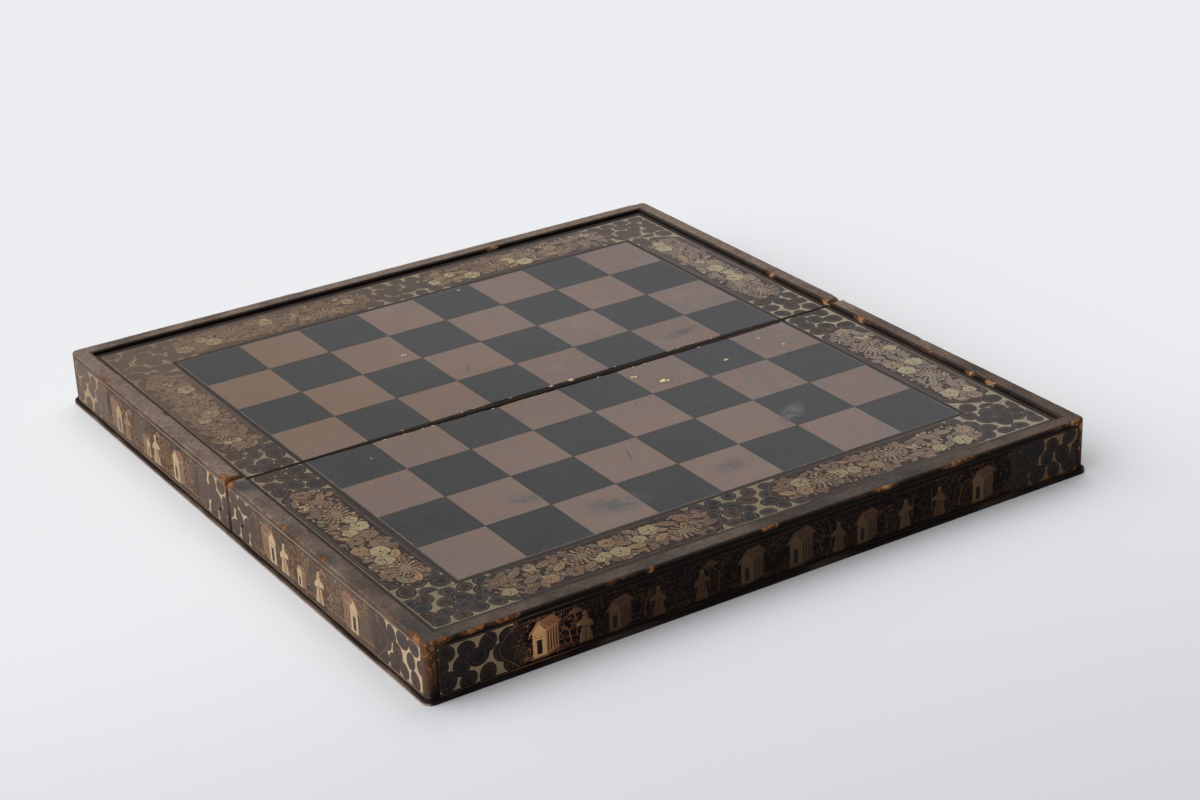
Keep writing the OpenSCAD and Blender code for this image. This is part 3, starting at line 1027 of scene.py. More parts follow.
def leaf(work, u, v, reach, wide, turn, tone):
    """A pointed leaf with a dark edge and a dark middle vein, growing from u and v."""
    middle = around((u, v), reach * 0.5, turn)
    work.edged(*middle, reach * 0.5, wide, turn, tone, 0.35, 8, 0.35)
    work.stroke(*middle, reach * 0.8, 0.42, turn, "ink")
    work.level += RISE


def blossom(work, u, v, radius, petals, turn, tone="pale"):
    """A round blossom: overlapping petals, each with a dark edge and two veins, round a small eye."""
    wide = radius * sin(pi / petals) * 0.96
    headings = [turn + 2 * pi * petal / petals for petal in range(petals)]
    for heading in headings:
        place = around((u, v), radius - wide, heading)
        work.edged(*place, wide * 1.05, wide, heading, tone, 0.42, 10)
        work.level -= 1.6 * RISE
    work.level += 1.6 * RISE
    for heading in headings:
        for lean in (-0.2, 0.2):
            place = around((u, v), radius * 0.56, heading + lean)
            work.stroke(*place, radius * 0.55, 0.36, heading + lean * 0.5, "ink")
    work.level += RISE
    work.disc(u, v, radius * 0.15, radius * 0.15, 0.0, "ink")


def flower_head(work, u, v, radius, turn, tone):
    """A large oval head: a fringe of narrow petals round a broad dotted middle."""
    long, wide = radius, radius * 0.68

    def ring(count, share, offset):
        for step in range(count):
            heading = 2 * pi * (step + offset) / count
            x, y = share * long * cos(heading), share * wide * sin(heading)
            lean = atan2(wide * sin(heading), long * cos(heading)) + turn
            place = u + x * cos(turn) - y * sin(turn), v + x * sin(turn) + y * cos(turn)
            yield step, place, lean

    work.disc(u, v, long + 0.3, wide + 0.3, turn, "ink", 20)
    other = "copper" if tone == "tan" else "tan"
    for petal, place, lean in ring(18, 0.84, 0.0):
        work.disc(*place, radius * 0.15, radius * 0.1, lean, tone if petal % 3 else other)
        work.level -= RISE
    work.level += RISE
    work.disc(u, v, long * 0.7, wide * 0.68, turn, "ink", 18)
    for petal, place, lean in ring(13, 0.55, 0.5):
        work.disc(*place, radius * 0.13, radius * 0.095, lean, other if petal % 3 else tone)
        work.level -= RISE
    work.level += RISE
    work.disc(u, v, long * 0.42, wide * 0.42, turn, "olive", 14)
    for share, count in ((0.14, 5), (0.31, 10)):
        for dot, place, _ in ring(count, share, 0.3):
            work.disc(*place, 0.5, 0.5, 0.0, "pale" if dot % 2 else "ink", 5)
            work.level -= RISE


def spray(work, u, v, radius, turn):
    """A small spray: a stem with a bud at its end and little leaves."""
    reach = radius * 1.5
    end = around((u, v), reach * 0.45, turn + 0.2)
    work.path((around((u, v), -reach * 0.5, turn), (u, v), end), 0.5, "tan")
    work.disc(*end, radius * 0.36, radius * 0.28, turn, "pale")
    for side in (-1, 1):
        leaf(work, u, v, radius * 0.8, radius * 0.24, turn + side * 0.9, "olive")


def butterfly(work, u, v, radius, turn):
    """Four wings, a body and feelers."""
    for side in (-1, 1):
        for lean, size, wing in ((0.6, 1.0, "pale"), (2.1, 0.72, "tan")):
            heading = turn + side * lean
            place = around((u, v), radius * 0.5 * size, heading)
            for long, wide, tone, sides in (
                (0.56, 0.36, "ink", 9),
                (0.48, 0.28, wing, 9),
                (0.16, 0.1, "copper", 6),
            ):
                work.disc(*place, radius * long * size, radius * wide * size, heading, tone, sides)
            work.level -= 3 * RISE
    work.level += 3 * RISE
    work.disc(u, v, radius * 0.42, radius * 0.09, turn, "ink", 6)
    for lean in (-0.3, 0.3):
        place = around((u, v), radius * 0.62, turn + lean)
        work.stroke(*place, radius * 0.5, 0.26, turn + lean, "pale")


def lobe(work, u, v, radius, turn, kind):
    """A dark lobe with one or two thin rings, or with ribs fanned over one side."""
    long, wide = radius * 1.1, radius * 0.93
    dark = work.random.choice(("night", "night", "plum"))
    work.disc(u, v, long, wide, turn, dark, 16)
    for share in ((0.8,), (0.84, 0.56), (0.7,))[kind]:
        work.disc(u, v, long * share, wide * share, turn, "ring", 14)
        work.disc(u, v, long * share - 0.4, wide * share - 0.4, turn, dark, 14)
    if kind == 0:
        for rib in range(9):
            heading = turn - 1.4 + 0.35 * rib
            place = around((u, v), radius * 0.52, heading)
            work.stroke(*place, radius * 0.4, 0.34, heading, "umber")


class Reserve:
    """A dark panel with notched shoulders and rounded ends that the flowers lie in."""

    END = 13.0
    NOTCH = 2.6
    CUSP = 2.6
    SHOULDER = 1.2
    STEPS = 18

    def __init__(self, start, end, middle, half):
        self.start = start
        self.end = end
        self.middle = middle
        self.half = half

    def outline(self, inset):
        """Corners of the panel, anticlockwise, drawn in by an inset."""
        places = []
        for side, tip in ((1, self.end), (-1, self.start)):
            shoulder = tip - side * self.END
            corner = side * (self.half - inset)
            places.append((shoulder - side * self.SHOULDER, self.middle - corner))
            for step in range(self.STEPS + 1):
                turn = pi * (step / self.STEPS - 0.5)
                cusp = self.CUSP * max(0.0, 1 - abs(turn) / 0.45) ** 2
                u = shoulder + side * (self.END - inset) * cos(turn) + side * cusp
                v = self.middle + side * (self.half - inset - self.NOTCH) * sin(turn)
                places.append((u, v))
            places.append((shoulder - side * self.SHOULDER, self.middle + corner))
        return places

    def room(self, u):
        """Half the width of the panel at a place along it."""
        past = max(self.start + self.END - u, u - self.end + self.END, 0.0)
        if past == 0.0:
            return self.half
        return (self.half - self.NOTCH) * sqrt(max(0.0, 1 - (past / self.END) ** 2))


# How far flowers and undergrowth stay from the edges and tips of a reserve, in millimetres
EDGE_GAP = 3.2
TIP_GAP = 2.6
GROWTH_EDGE = 4.4
GROWTH_TIP = 6.0
# Share of their two radii that keeps flowers apart
PACKING = 0.74


def draw_reserve(work, panel):
    """The dark panel, its thin outlines and the flowers that fill it."""
    work.start(RESERVE_LEVEL)
    work.sheet(panel.outline(0.0), "ink")
    work.sheet(panel.outline(2.6), "plum")
    for inset, wide, tone in ((0.5, 0.4, "umber"), (1.4, 0.5, "mist"), (2.2, 0.34, "umber")):
        ring = panel.outline(inset)
        work.path(ring + ring[:1], wide, tone)
    undergrowth(work, panel)
    work.base = MOTIF_LEVEL
    taken = []
    pick = work.random
    bloom = settings()[1].blossom / MM
    # What is laid in turn: kind, how many, radius and how often a place for one is sought
    for kind, count, radius, tries in (
        ("head", 2, settings()[1].head / MM, 120),
        ("blossom", 3, bloom, 160),
        ("butterfly", 1, 6.4, 60),
        ("blossom", 2, bloom * 0.75, 120),
        ("rosette", 5, bloom * 0.85, 200),
        ("leaf", 30, 6.2, 500),
        ("spray", 5, 4.0, 120),
        ("leaf", 60, 4.2, 900),
        ("leaf", 90, 3.0, 1200),
        ("bud", 90, 1.7, 1100),
        ("dot", 50, 0.7, 500),
    ):
        reach = radius * (0.8 if kind == "head" else 1.0)
        for _ in range(tries):
            u = panel.start + (panel.end - panel.start) * pick.random()
            v = panel.middle + panel.half * pick.uniform(-1, 1)
            edge = panel.room(u) - EDGE_GAP - abs(v - panel.middle)
            tips = min(u - panel.start, panel.end - u) - TIP_GAP
            if edge < reach * 0.95 or tips < radius:
                continue
            if any(hypot(u - a, v - b) < (reach + r) * PACKING for a, b, r in taken):
                continue
            taken.append((u, v, reach))
            draw_motif(work, kind, u, v, radius, taken)
            count -= 1
            if count == 0:
                break


def undergrowth(work, panel):
    """Overlapping dull leaves that cover most of the panel under the flowers."""
    pick = work.random
    u = panel.start + GROWTH_TIP
    while u < panel.end - GROWTH_TIP:
        room = panel.room(u) - GROWTH_EDGE
        if room > 0:
            v = panel.middle + pick.uniform(-room, room)
            work.level = RESERVE_LEVEL + 0.03 + pick.uniform(0, 0.02)
            turn = pick.uniform(0, 2 * pi)
            size = min(pick.uniform(3.0, 4.6), room + 1.0)
            tone = pick.choice(("umber", "umber", "copper"))
            work.edged(u, v, size, size * 0.62, turn, tone, 0.35, 8, 0.2)
        u += pick.uniform(0.7, 1.7)


def draw_motif(work, kind, u, v, radius, taken):
    """One motif of a reserve, turned away from the nearest flower."""
    pick = work.random
    work.next_motif()
    turn = pick.uniform(0, 2 * pi)
    flowers = [(hypot(u - a, v - b), a, b) for a, b, r in taken if r > 4.5]
    if flowers and kind in ("leaf", "bud"):
        _, a, b = min(flowers)
        turn = atan2(v - b, u - a) + pick.uniform(-0.7, 0.7)
    if kind == "head":
        flower_head(work, u, v, radius, pick.uniform(-0.35, 0.35), pick.choice(("tan", "copper")))
    elif kind == "blossom":
        blossom(work, u, v, radius, pick.choice((5, 5, 6)), turn)
    elif kind == "rosette":
        blossom(work, u, v, radius, pick.choice((6, 7)), turn, pick.choice(("tan", "copper")))
    elif kind == "butterfly":
        butterfly(work, u, v, radius, turn)
    elif kind == "spray":
        spray(work, u, v, radius, turn)
    elif kind == "leaf":
        tone = pick.choice(("copper", "copper", "tan", "olive", "umber"))
        leaf(work, *around((u, v), -radius, turn), radius * 2, radius * 0.52, turn, tone)
    elif kind == "bud":
        tone = pick.choice(("tan", "copper", "olive", "pale"))
        work.disc(u, v, radius, radius * 0.5, turn, tone, 7, 0.3)
    else:
        work.disc(u, v, radius, radius, 0.0, pick.choice(("pale", "tan", "umber")), 6)


def draw_lobes(work, start, end, low, high, gold, closeness, clear=()):
    """Gold with dark lobes packed over it, so that it shows only where they don't quite meet."""
    work.level = LOBE_LEVEL
    work.sheet(((start, low), (end, low), (end, high), (start, high)), gold)
    work.base = work.level
    work.limits = (start, end, low, high)
    pick = work.random
    largest = settings()[1].lobe / MM
    pitch = largest * closeness
    rows = max(1, round((high - low) / (pitch * LOBE_ROW)))
    columns = round((end - start) / pitch)
    for row in range(rows):
        for column in range(columns + row % 2):
            u = start + (end - start) * (column + 0.5 - 0.5 * (row % 2)) / columns
            v = low + (high - low) * (row + 0.5) / rows
            u += pick.uniform(-1, 1) * LOBE_STRAY
            v += pick.uniform(-1, 1) * LOBE_STRAY
            radius = largest * pick.uniform(0.88, 1.08)
            radius *= min(1.0, (high - low) / rows / pitch / LOBE_ROW)
            hidden = LOBE_UNDER + radius
            if any(panel.start + hidden < u < panel.end - hidden for panel in clear):
                continue
            work.next_motif()
            lobe(work, u, v, radius, pick.uniform(0, pi), pick.choice((0, 1, 1, 2)))
    work.limits = None


def gild_border(half, seed):
    """The gilt bands of a half: lobes at the corners and fold, reserves of flowers between."""
    for count, (name, (face, reach)) in enumerate(border_faces(half).items()):
        work = Gilding(face, seed + count)
        wide = (BAND_Y - FIELD_Y if name == "long" else BAND_X - FIELD_X) - OUTLINE_W
        middle = reach / 2
        # Where the reserves and the fields of lobes start and end along each band
        panels, fields = {
            "long": (
                ((43.0, middle - 20.0), (middle + 20.0, reach - 43.0)),
                ((MARGIN_W, 62.0), (middle - 38.0, middle + 38.0), (reach - 62.0, reach - MARGIN_W)),
            ),
            "first": (((33.0, reach - 49.0),), ((0.0, 51.0), (reach - 67.0, reach - LONG_BAND))),
            "last": (((49.0, reach - 33.0),), ((LONG_BAND, 67.0), (reach - 51.0, reach))),
        }[name]
        panels = [Reserve(*ends, wide / 2, wide / 2 - 0.9) for ends in panels]
        for ends in fields:
            draw_lobes(work, *ends, MARGIN_W, wide - 0.7, "straw", LOBE_PITCH, panels)
        for panel in panels:
            draw_reserve(work, panel)
        yield name, work


# Motifs of the walls, in millimetres
WALL_LOW = 4.6
WALL_HIGH = 33.2
PAVILION_FOOT = 6.8
FIGURE_FOOT = 6.2
TREE_FOOT = 8.0
FENCE_V = 11.0
POST_H = 3.4
POST_PITCH = 2.1
REED_PITCH = 2.4

# Flat shapes of a pavilion: its base, side, front, roof and doorway
PAVILION = (
    (((-1.5, -1.2), (9.5, -1.2), (19.0, 2.2), (19.0, 3.4), (-1.5, 0.2)), "umber"),
    (((9.0, 0.0), (17.5, 3.0), (17.5, 18.5), (9.0, 16.5)), "tan"),
    (((0.0, 0.0), (9.0, 0.0), (9.0, 16.5), (4.5, 21.5), (0.0, 16.5)), "pale"),
    (((4.5, 23.2), (11.0, 17.0), (20.0, 19.0), (14.2, 25.0)), "copper"),
    (((2.6, 1.6), (6.2, 1.6), (6.2, 11.0), (2.6, 11.0)), "ink"),
)
ROBE = ((-4.8, 0.0), (4.4, 0.4), (3.6, 5.0), (2.2, 10.0), (1.7, 16.4), (-1.5, 16.8), (-3.0, 9.0))
HEM = ((-1.0, 0.4), (1.7, 0.4), (0.9, 9.4), (-0.6, 9.4))
PARASOL = ((1.0, 20.2), (11.4, 20.2), (8.6, 22.9), (6.3, 23.8), (3.8, 22.9))
# Lines of a robed figure: start, end, width and tone
ROBE_LINES = (
    ((-2.6, 1.0), (-1.3, 9.0), 0.4, "ink"),
    ((0.0, 0.8), (0.0, 12.0), 0.4, "ink"),
    ((2.6, 1.4), (1.3, 8.0), 0.4, "ink"),
    ((-2.0, 10.0), (2.2, 9.6), 0.7, "ink"),
    ((-1.2, 16.0), (1.2, 12.4), 0.45, "ink"),
    ((5.4, 5.0), (6.4, 20.5), 0.45, "tan"),
)


class Motif:
    """Draws in a motif's own measure, whose x and y grow from its foot, turned to either hand."""

    def __init__(self, work, u, v, size, hand):
        self.work = work
        self.foot = (u, v)
        self.size = size
        self.hand = hand
        work.next_motif()

    def at(self, x, y):
        """A place of the motif on the wall."""
        return self.foot[0] + self.hand * x * self.size, self.foot[1] + y * self.size

    def shape(self, places, tone):
        """A flat shape."""
        corners = [self.at(*place) for place in places]
        self.work.sheet(corners[:: self.hand], tone)

    def line(self, start, end, wide, tone):
        """A straight line."""
        self.work.line(self.at(*start), self.at(*end), wide, tone)


def pavilion(work, u, v, size, hand):
    """A small pavilion: gabled front with a doorway, a side of columns, a ribbed roof, a base."""
    draw = Motif(work, u, v, size, hand)
    for places, tone in PAVILION:
        draw.shape(places, tone)
    draw.line((-1.8, 15.6), (4.5, 22.8), 1.3 * size, "tan")
    draw.line((4.5, 22.8), (11.0, 16.4), 1.3 * size, "tan")
    for rib in range(5):
        draw.line((6.4 + 1.9 * rib, 21.4), (9.8 + 1.9 * rib, 18.4), 0.3, "ink")
    for column in range(4):
        x = 10.4 + 1.9 * column
        rise = (x - 9.0) * 0.35
        draw.line((x, rise + 1.0), (x, rise + 14.6), 1.05 * size, "ink")
    draw.line((0.4, 12.6), (8.6, 12.6), 0.35, "ink")
    draw.line((0.4, 14.4), (8.6, 14.4), 0.3, "copper")
    work.level += RISE


def robed_figure(work, u, v, size, hand, tone, parasol):
    """A figure in a long robe with wide sleeves and a staff or parasol, its head a plain disc."""
    draw = Motif(work, u, v, size, hand)
    draw.shape(ROBE, tone)
    draw.shape(HEM, "copper" if tone == "tan" else "tan")
    for side, lean in ((-1, -2.3), (1, -0.35)):
        turn = lean if hand > 0 else pi - lean
        work.disc(*draw.at(side * 3.0, 12.2 + side * 0.6), 3.5 * size, 1.7 * size, turn, tone, 8, 0.2)
    work.disc(*draw.at(0.1, 18.4), 1.55 * size, 1.7 * size, 0.0, "pale", 9)
    work.disc(*draw.at(0.0, 20.3), 1.1 * size, 0.75 * size, 0.0, "ink", 7)
    for line in ROBE_LINES:
        draw.line(*line)
    if parasol:
        draw.shape(PARASOL, "copper")
        for rib in (3.4, 6.3, 9.2):
            draw.line((rib, 20.4), (6.3 + (rib - 6.3) * 0.3, 23.4), 0.35, "ink")
    work.level += RISE


def tree(work, u, v, size):
    """A bent tree: a forked trunk and tufts of short needles."""
    pick = work.random
    work.next_motif()
    lean = pick.uniform(-2.5, 2.5)
    crown = (u + lean, v + 12 * size)
    work.path(((u, v), (u + lean * 0.2, v + 5 * size), crown), 0.7, "tan")
    for side in (-1, 1):
        tip = (crown[0] + side * pick.uniform(3, 6) * size, crown[1] + pick.uniform(3, 7) * size)
        work.path((crown, tip), 0.45, "tan")
        for _ in range(3):
            middle = tip[0] + pick.uniform(-3, 3), tip[1] + pick.uniform(-2, 2)
            for needle in range(6):
                turn = pi * needle / 5
                tone = "umber" if needle % 2 else "tan"
                work.stroke(*around(middle, 1.1, turn), 1.6, 0.26, turn, tone)
            work.level += RISE


def ground_lines(work, start, end):
    """Terraces and water: long thin lines broken here and there, and a low fence."""
    pick = work.random
    work.start(GRASS_LEVEL)
    for v, tone in ((6.4, "umber"), (8.0, "tan"), (9.4, "umber"), (12.6, "umber"), (30.8, "umber")):
        u = start
        while u < end:
            reach = min(pick.uniform(18, 60), end - u)
            work.line((u, v), (u + reach, v), 0.36, tone)
            u += reach + pick.uniform(1.5, 9)
    u = start + pick.uniform(4, 14)
    while u < end - 14:
        posts = pick.randint(4, 9)
        for post in range(posts):
            work.stroke(u + POST_PITCH * post, FENCE_V, POST_H, 0.34, pi / 2, "umber")
        u += POST_PITCH * posts + pick.uniform(16, 34)


def curls(work, start, end, count):
    """Fine curled strokes that fill the ground like grass and cloud."""
    pick = work.random
    work.start(GRASS_LEVEL)
    for _ in range(count):
        middle = pick.uniform(start + 2, end - 2), pick.uniform(WALL_LOW + 1.6, WALL_HIGH - 1.6)
        radius = pick.uniform(0.7, 1.4)
        turn = pick.uniform(0, 2 * pi)
        tone = pick.choice(("umber", "umber", "tan"))
        work.path([around(middle, radius, turn + 1.1 * step) for step in range(4)], 0.27, tone)
        work.level = GRASS_LEVEL


def reeds(work, start, end, tones):
    """Rows of short upright strokes, close together, that read as reeds and distant woods."""
    pick = work.random
    work.start(GRASS_LEVEL)
    v = WALL_LOW + 2.0
    while v < WALL_HIGH - 2:
        u = start + pick.uniform(0, 2)
        while u < end:
            tall = pick.uniform(1.0, 2.6)
            thick = noise.noise(Vector((u * 0.07, v * 0.08, start * 0.3)))
            if pick.random() < 0.5 + thick * 1.3:
                turn = pi / 2 + pick.uniform(-0.5, 0.5)
                work.stroke(u, v + pick.uniform(-0.5, 0.5), tall, 0.36, turn, pick.choice(tones))
            u += pick.uniform(0.9, 1.9)
        v += REED_PITCH


def bracket(tip, back, hand):
    """The curved frame that closes a field of lobes at the end of a wall."""
    places = []
    for step in range(17):
        share = step / 8 - 1
        swing = 0.5 + 0.5 * cos(pi * share)
        v = (WALL_LOW + WALL_HIGH) / 2 + (WALL_HIGH - WALL_LOW) / 2 * share
        places.append((tip - hand * back * (1 - swing**0.7), v))
    return places


# Lobes and frames at the ends of a wall, in millimetres: the margins and fields at a plain and at
# a mitred end, the place, depth and ground of a frame, and what both ends take of the wall
MARGINS = (2.5, 7.0)
LOBE_ENDS = (40.0, 58.0)
BRACKET_IN = 14.0
BRACKET_BACK = -12.0
BRACKET_GROUND = 18.0
BOTH_ENDS = 110.0
# Curls on each millimetre of a wall
CURLS_PER_MM = 1.6

# What stands in a scene of a wall, each with its place along it and its size
SCENE_W = 62.0
OUTER_SCENES = (
    (("pavilion", 7.0, 0.96), ("tree", 32.0, 0.7), ("figure", 44.0, 1.0)),
    (("pavilion", -3.0, 0.84), ("tree", 22.0, 0.9), ("figure", 34.0, 0.96)),
    (("figure", 2.0, 1.0), ("tree", 16.0, 1.0), ("pavilion", 30.0, 0.9)),
)
SIDE_SCENES = (
    (("pavilion", 3.0, 0.95), ("figure", 28.0, 1.04), ("tree", 36.0, 0.8), ("pavilion", 42.0, 0.62)),
    (("figure", 5.0, 1.08), ("tree", 17.0, 0.9), ("pavilion", 28.0, 0.96)),
)


def gild_wall(face, reach, mitred, seed, scenes):
    """The gilt work of a wall: lobes at each end, framed scenes of pavilions and figures between."""
    work = Gilding(face, seed)
    pick = work.random
    outer = mitred == (1, 1)
    margins = [MARGINS[end] for end in mitred]
    ends = [LOBE_ENDS[end] for end in mitred]
    stop = reach - margins[1]
    for v, tone in ((WALL_LOW - 1.0, "tan"), (WALL_HIGH + 0.9, "umber" if outer else "pale")):
        work.line((margins[0], v), (stop, v), 0.45, tone)
    for field in ((margins[0], ends[0]), (reach - ends[1], stop)):
        draw_lobes(work, *field, WALL_LOW, WALL_HIGH, "pale", WALL_PITCH)
    for tip, hand in ((ends[0] - BRACKET_IN, 1), (reach - ends[1] + BRACKET_IN, -1)):
        edge = bracket(tip, BRACKET_BACK, hand)
        far = tip + hand * BRACKET_GROUND
        work.start(RESERVE_LEVEL)
        work.sheet((edge + [(far, WALL_HIGH), (far, WALL_LOW)])[::-hand], "plum")
        work.path(edge, 0.9, "night")
        work.path([(u + hand * 1.1, v) for u, v in edge], 0.45, "tan")
    start, end = ends[0] + 2.0, reach - ends[1] - 2.0
    reeds(work, start - 7, end + 7, ("umber", "umber", "tan") if outer else ("tan", "tan", "pale"))
    curls(work, start - 9, end + 9, round((end - start) * CURLS_PER_MM))
    ground_lines(work, start, end)
    work.base = MOTIF_LEVEL
    room = (end - start) / scenes
    order = OUTER_SCENES if outer else SIDE_SCENES
    for scene in range(scenes):
        u = start + room * scene
        for kind, place, size in order[scene % len(order)]:
            place = u + place * room / SCENE_W + pick.uniform(-2, 2)
            hand = 1 if outer and kind == "pavilion" else pick.choice((1, -1))
            if kind == "pavilion":
                pavilion(work, place + (0 if hand > 0 else 20), PAVILION_FOOT, size, hand)
            elif kind == "figure":
                tone = pick.choice(("tan", "pale", "copper"))
                robed_figure(work, place, FIGURE_FOOT, size, hand, tone, pick.random() < 0.4)
            else:
                tree(work, place, TREE_FOOT, size)
    return work


# Small losses that show the pale ground under the squares: x, y and radius in millimetres
LOSSES = (
    (64.0, -36.0, 4.6), (51.0, -18.0, 2.8), (116.0, -32.5, 2.0), (163.0, -35.0, 2.0),
    (155.0, -17.0, 2.2), (-149.0, -22.0, 1.0), (35.0, 188.0, 1.6), (-54.0, 108.0, 2.4),
    (15.0, 3.4, 2.6), (-1.0, 3.0, 1.8),
)


def loss(work, u, v, radius):
    """A ragged pale spot in a dull brown ring."""
    pick = work.random
    work.level = LOBE_LEVEL
    work.disc(u, v, radius * 1.3, radius, 0.0, "umber", 12)
    work.disc(u, v, radius * 1.1, radius * 0.8, 0.0, "olive", 12)
    for _ in range(5):
        turn = pick.uniform(0, 2 * pi)
        x, y = u + radius * 0.45 * cos(turn), v + radius * 0.3 * sin(turn)
        size = radius * pick.uniform(0.25, 0.42)
        work.disc(x, y, size * 1.3, size, turn, pick.choice(("cream", "cream", "pale")), 7)
    work.disc(u + radius * 0.2, v, radius * 0.22, radius * 0.16, 0.4, "umber", 7)


# Width of the painted shadow along the fold where it is widest, in millimetres
FOLD_SHADOW_W = 2.7


def fold_shadow_and_chips(work, share, s):
    """A painted shadow along the fold: black ragged strips on the edge of a half, thinner towards its
    ends, with a few pale chips.
    """
    pick = work.random
    u = -BAND_X
    while u < BAND_X - 6:
        reach = pick.uniform(2.0, 6.0)
        full = max(0.15, min(1.0, (u * s + 200) / 160, 1 - (u * s - 150) / 110))
        wide = share * FOLD_SHADOW_W * full * pick.uniform(0.85, 1.15)
        work.level = LOBE_LEVEL
        work.stroke(u + reach / 2, -BAND_FOLD - wide / 2, reach + 0.3, wide, 0.0, "pitch")
        if pick.random() < 0.08:
            work.level += RISE
            work.stroke(u + reach / 2, -BAND_FOLD - wide, 1.8, 0.8, pick.uniform(-0.3, 0.3), "cream")
        u += reach


# Camera, lights and floor

# Where the light above and the light on the left come from, where the room is dim, and how many
# degrees the light above spreads
KEY_FROM = (0.35, 0.45, 1.0)
SIDE_FROM = (-0.92, 0.2, 0.34)
DIM_FROM = (0.5, -0.86, 0.0)
KEY_SPREAD = 50
# Where the floor grows paler, as a painted light of the room, its size in metres, and in millimetres its
# gap under the board and how far its openings stay inside the walls and off the fold
FLOOR_PALE = (0.18, 0.99, 0.0)
FLOOR_SIZE = 60.0
FLOOR_GAP = 0.05
FLOOR_UNDER = 1.5
FLOOR_FOLD = 3.0


def make_camera(stage):
    """The camera at the angle and distance of the reference view."""
    flat = cos(stage.elevation)
    back = Vector((sin(stage.azimuth) * flat, -cos(stage.azimuth) * flat, sin(stage.elevation)))
    level = (-back).cross(Vector((0, 0, 1))).normalized()
    down = (-back).cross(level)
    right = cos(stage.roll) * level - sin(stage.roll) * down
    up = -sin(stage.roll) * level - cos(stage.roll) * down
    camera = bpy.data.objects.new("camera", bpy.data.cameras.new("camera"))
    bpy.context.collection.objects.link(camera)
    matrix = Matrix((right, up, back)).transposed().to_4x4()
    matrix.translation = stage.place
    camera.matrix_world = matrix
    camera.data.sensor_width = 36.0
    camera.data.lens = stage.lens
    camera.data.clip_end = 100.0
    bpy.context.scene.camera = camera


def make_lights(stage):
    """A broad light above and a pale room, brighter on the left and dim in front."""
    lamp = bpy.data.objects.new("key", bpy.data.lights.new("key", "SUN"))
    lamp.data.energy = stage.key
    lamp.data.angle = radians(KEY_SPREAD)
    lamp.data.color = (1.0, 0.99, 0.975)
    lamp.rotation_mode = "QUATERNION"
    lamp.rotation_quaternion = (-Vector(KEY_FROM)).to_track_quat("-Z", "Y")
    bpy.context.collection.objects.link(lamp)
    world = bpy.data.worlds.new("room")
    heading = empty_tree(world).node("ShaderNodeTexCoord", {}, {}, "Generated")
    front = heading.toward(DIM_FROM).smooth(-0.2, 0.7)
    left = heading.toward(SIDE_FROM).smooth(0.35, 0.95)
    strength = stage.fill * (1 - front * 0.93) + stage.side * left
    light = {"Color": (0.98, 0.988, 1.0, 1.0), "Strength": strength}
    background = heading.node("ShaderNodeBackground", {}, light)
    heading.node("ShaderNodeOutputWorld", {}, {"Surface": background})
    bpy.context.scene.world = world


def floor_sheet(height, turn, halves):
    """A floor at a height in millimetres, left open inside the walls of the halves named."""
    mesh = bmesh.new()
    bmesh.ops.create_grid(mesh, x_segments=3, y_segments=5, size=1.0)
    inner_x, inner_y = X_OUT - WALL_T - FLOOR_UNDER, Y_OUT - WALL_T - FLOOR_UNDER
    for vert in mesh.verts:
        far_x, far_y = abs(vert.co.x) > 0.9, abs(vert.co.y) > 0.9
        inner = WALL_T + FLOOR_FOLD if abs(vert.co.y) < 0.3 else inner_y
        x = FLOOR_SIZE / 2 if far_x else inner_x * MM
        y = FLOOR_SIZE / 2 if far_y else inner * MM
        vert.co = copysign(x, vert.co.x), copysign(y, vert.co.y), 0.0
    bmesh.ops.rotate(mesh, verts=mesh.verts, matrix=Matrix.Rotation(turn, 3, "X"))
    bmesh.ops.translate(mesh, verts=mesh.verts, vec=(0, 0, height * MM))
    openings = []
    for shape in mesh.faces:
        middle = shape.calc_center_bounds()
        under = abs(middle.x) < 0.01 and 0.01 < abs(middle.y) < Y_OUT * MM
        if under and -copysign(1, middle.y) in halves:
            openings.append(shape)
    bmesh.ops.delete(mesh, geom=openings, context="FACES")
    return mesh


def floor_paint(stage):
    """A matt floor, painted paler behind the board and darker in front as a painted light of the room,
    that shows only from above on its front.
    """
    material = bpy.data.materials.new("floor")
    normal = empty_tree(material).node("ShaderNodeNewGeometry", {}, {}, "Normal")
    behind = Wire(normal.tree, normal.socket.node.outputs["Backfacing"])
    height = normal.axes()[2]
    seen = height.reckon("GREATER_THAN", height, 0.0) * (1 - behind)
    spot = normal.node("ShaderNodeTexCoord", {}, {}, "Object")
    # painted light and shade of the room: paler behind, darker in front
    shade = spot.toward(FLOOR_PALE).smooth(-0.615, -0.04).blend(stage.floor_front, stage.floor)
    paint = normal.node("ShaderNodeBsdfDiffuse", {}, {"Color": shade})
    clear = normal.node("ShaderNodeBsdfTransparent")
    mixed = seen.node("ShaderNodeMixShader", {}, {0: seen, 1: clear, 2: paint})
    normal.node("ShaderNodeOutputMaterial", {}, {"Surface": mixed})
    return material


def make_floors(stage):
    """The floor under the open board and the one under the closed box.

    Both turn with the far half, and each shows only where it is met from above on its front. So
    the first vanishes when the board closes, and the second takes its place 38 mm lower, where
    the far half then rests. Inside the walls both are open, so that light from below reaches
    what they enclose."""
    material = floor_paint(stage)
    for name, height, turn, halves in (
        ("floor_open", MOUTH_Z - FLOOR_GAP, 0.0, (1, -1)),
        ("floor_closed", RIM_Z + FLOOR_GAP, pi, (-1,)),
    ):
        mesh = floor_sheet(height, turn, halves)
        data = bpy.data.meshes.new(name)
        mesh.to_mesh(data)
        mesh.free()
        data.materials.append(material)
        floor = bpy.data.objects.new(name, data)
        bpy.context.collection.objects.link(floor)
        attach(floor, "far_half")
        floor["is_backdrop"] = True


# Operators, one for each piece or group of like pieces


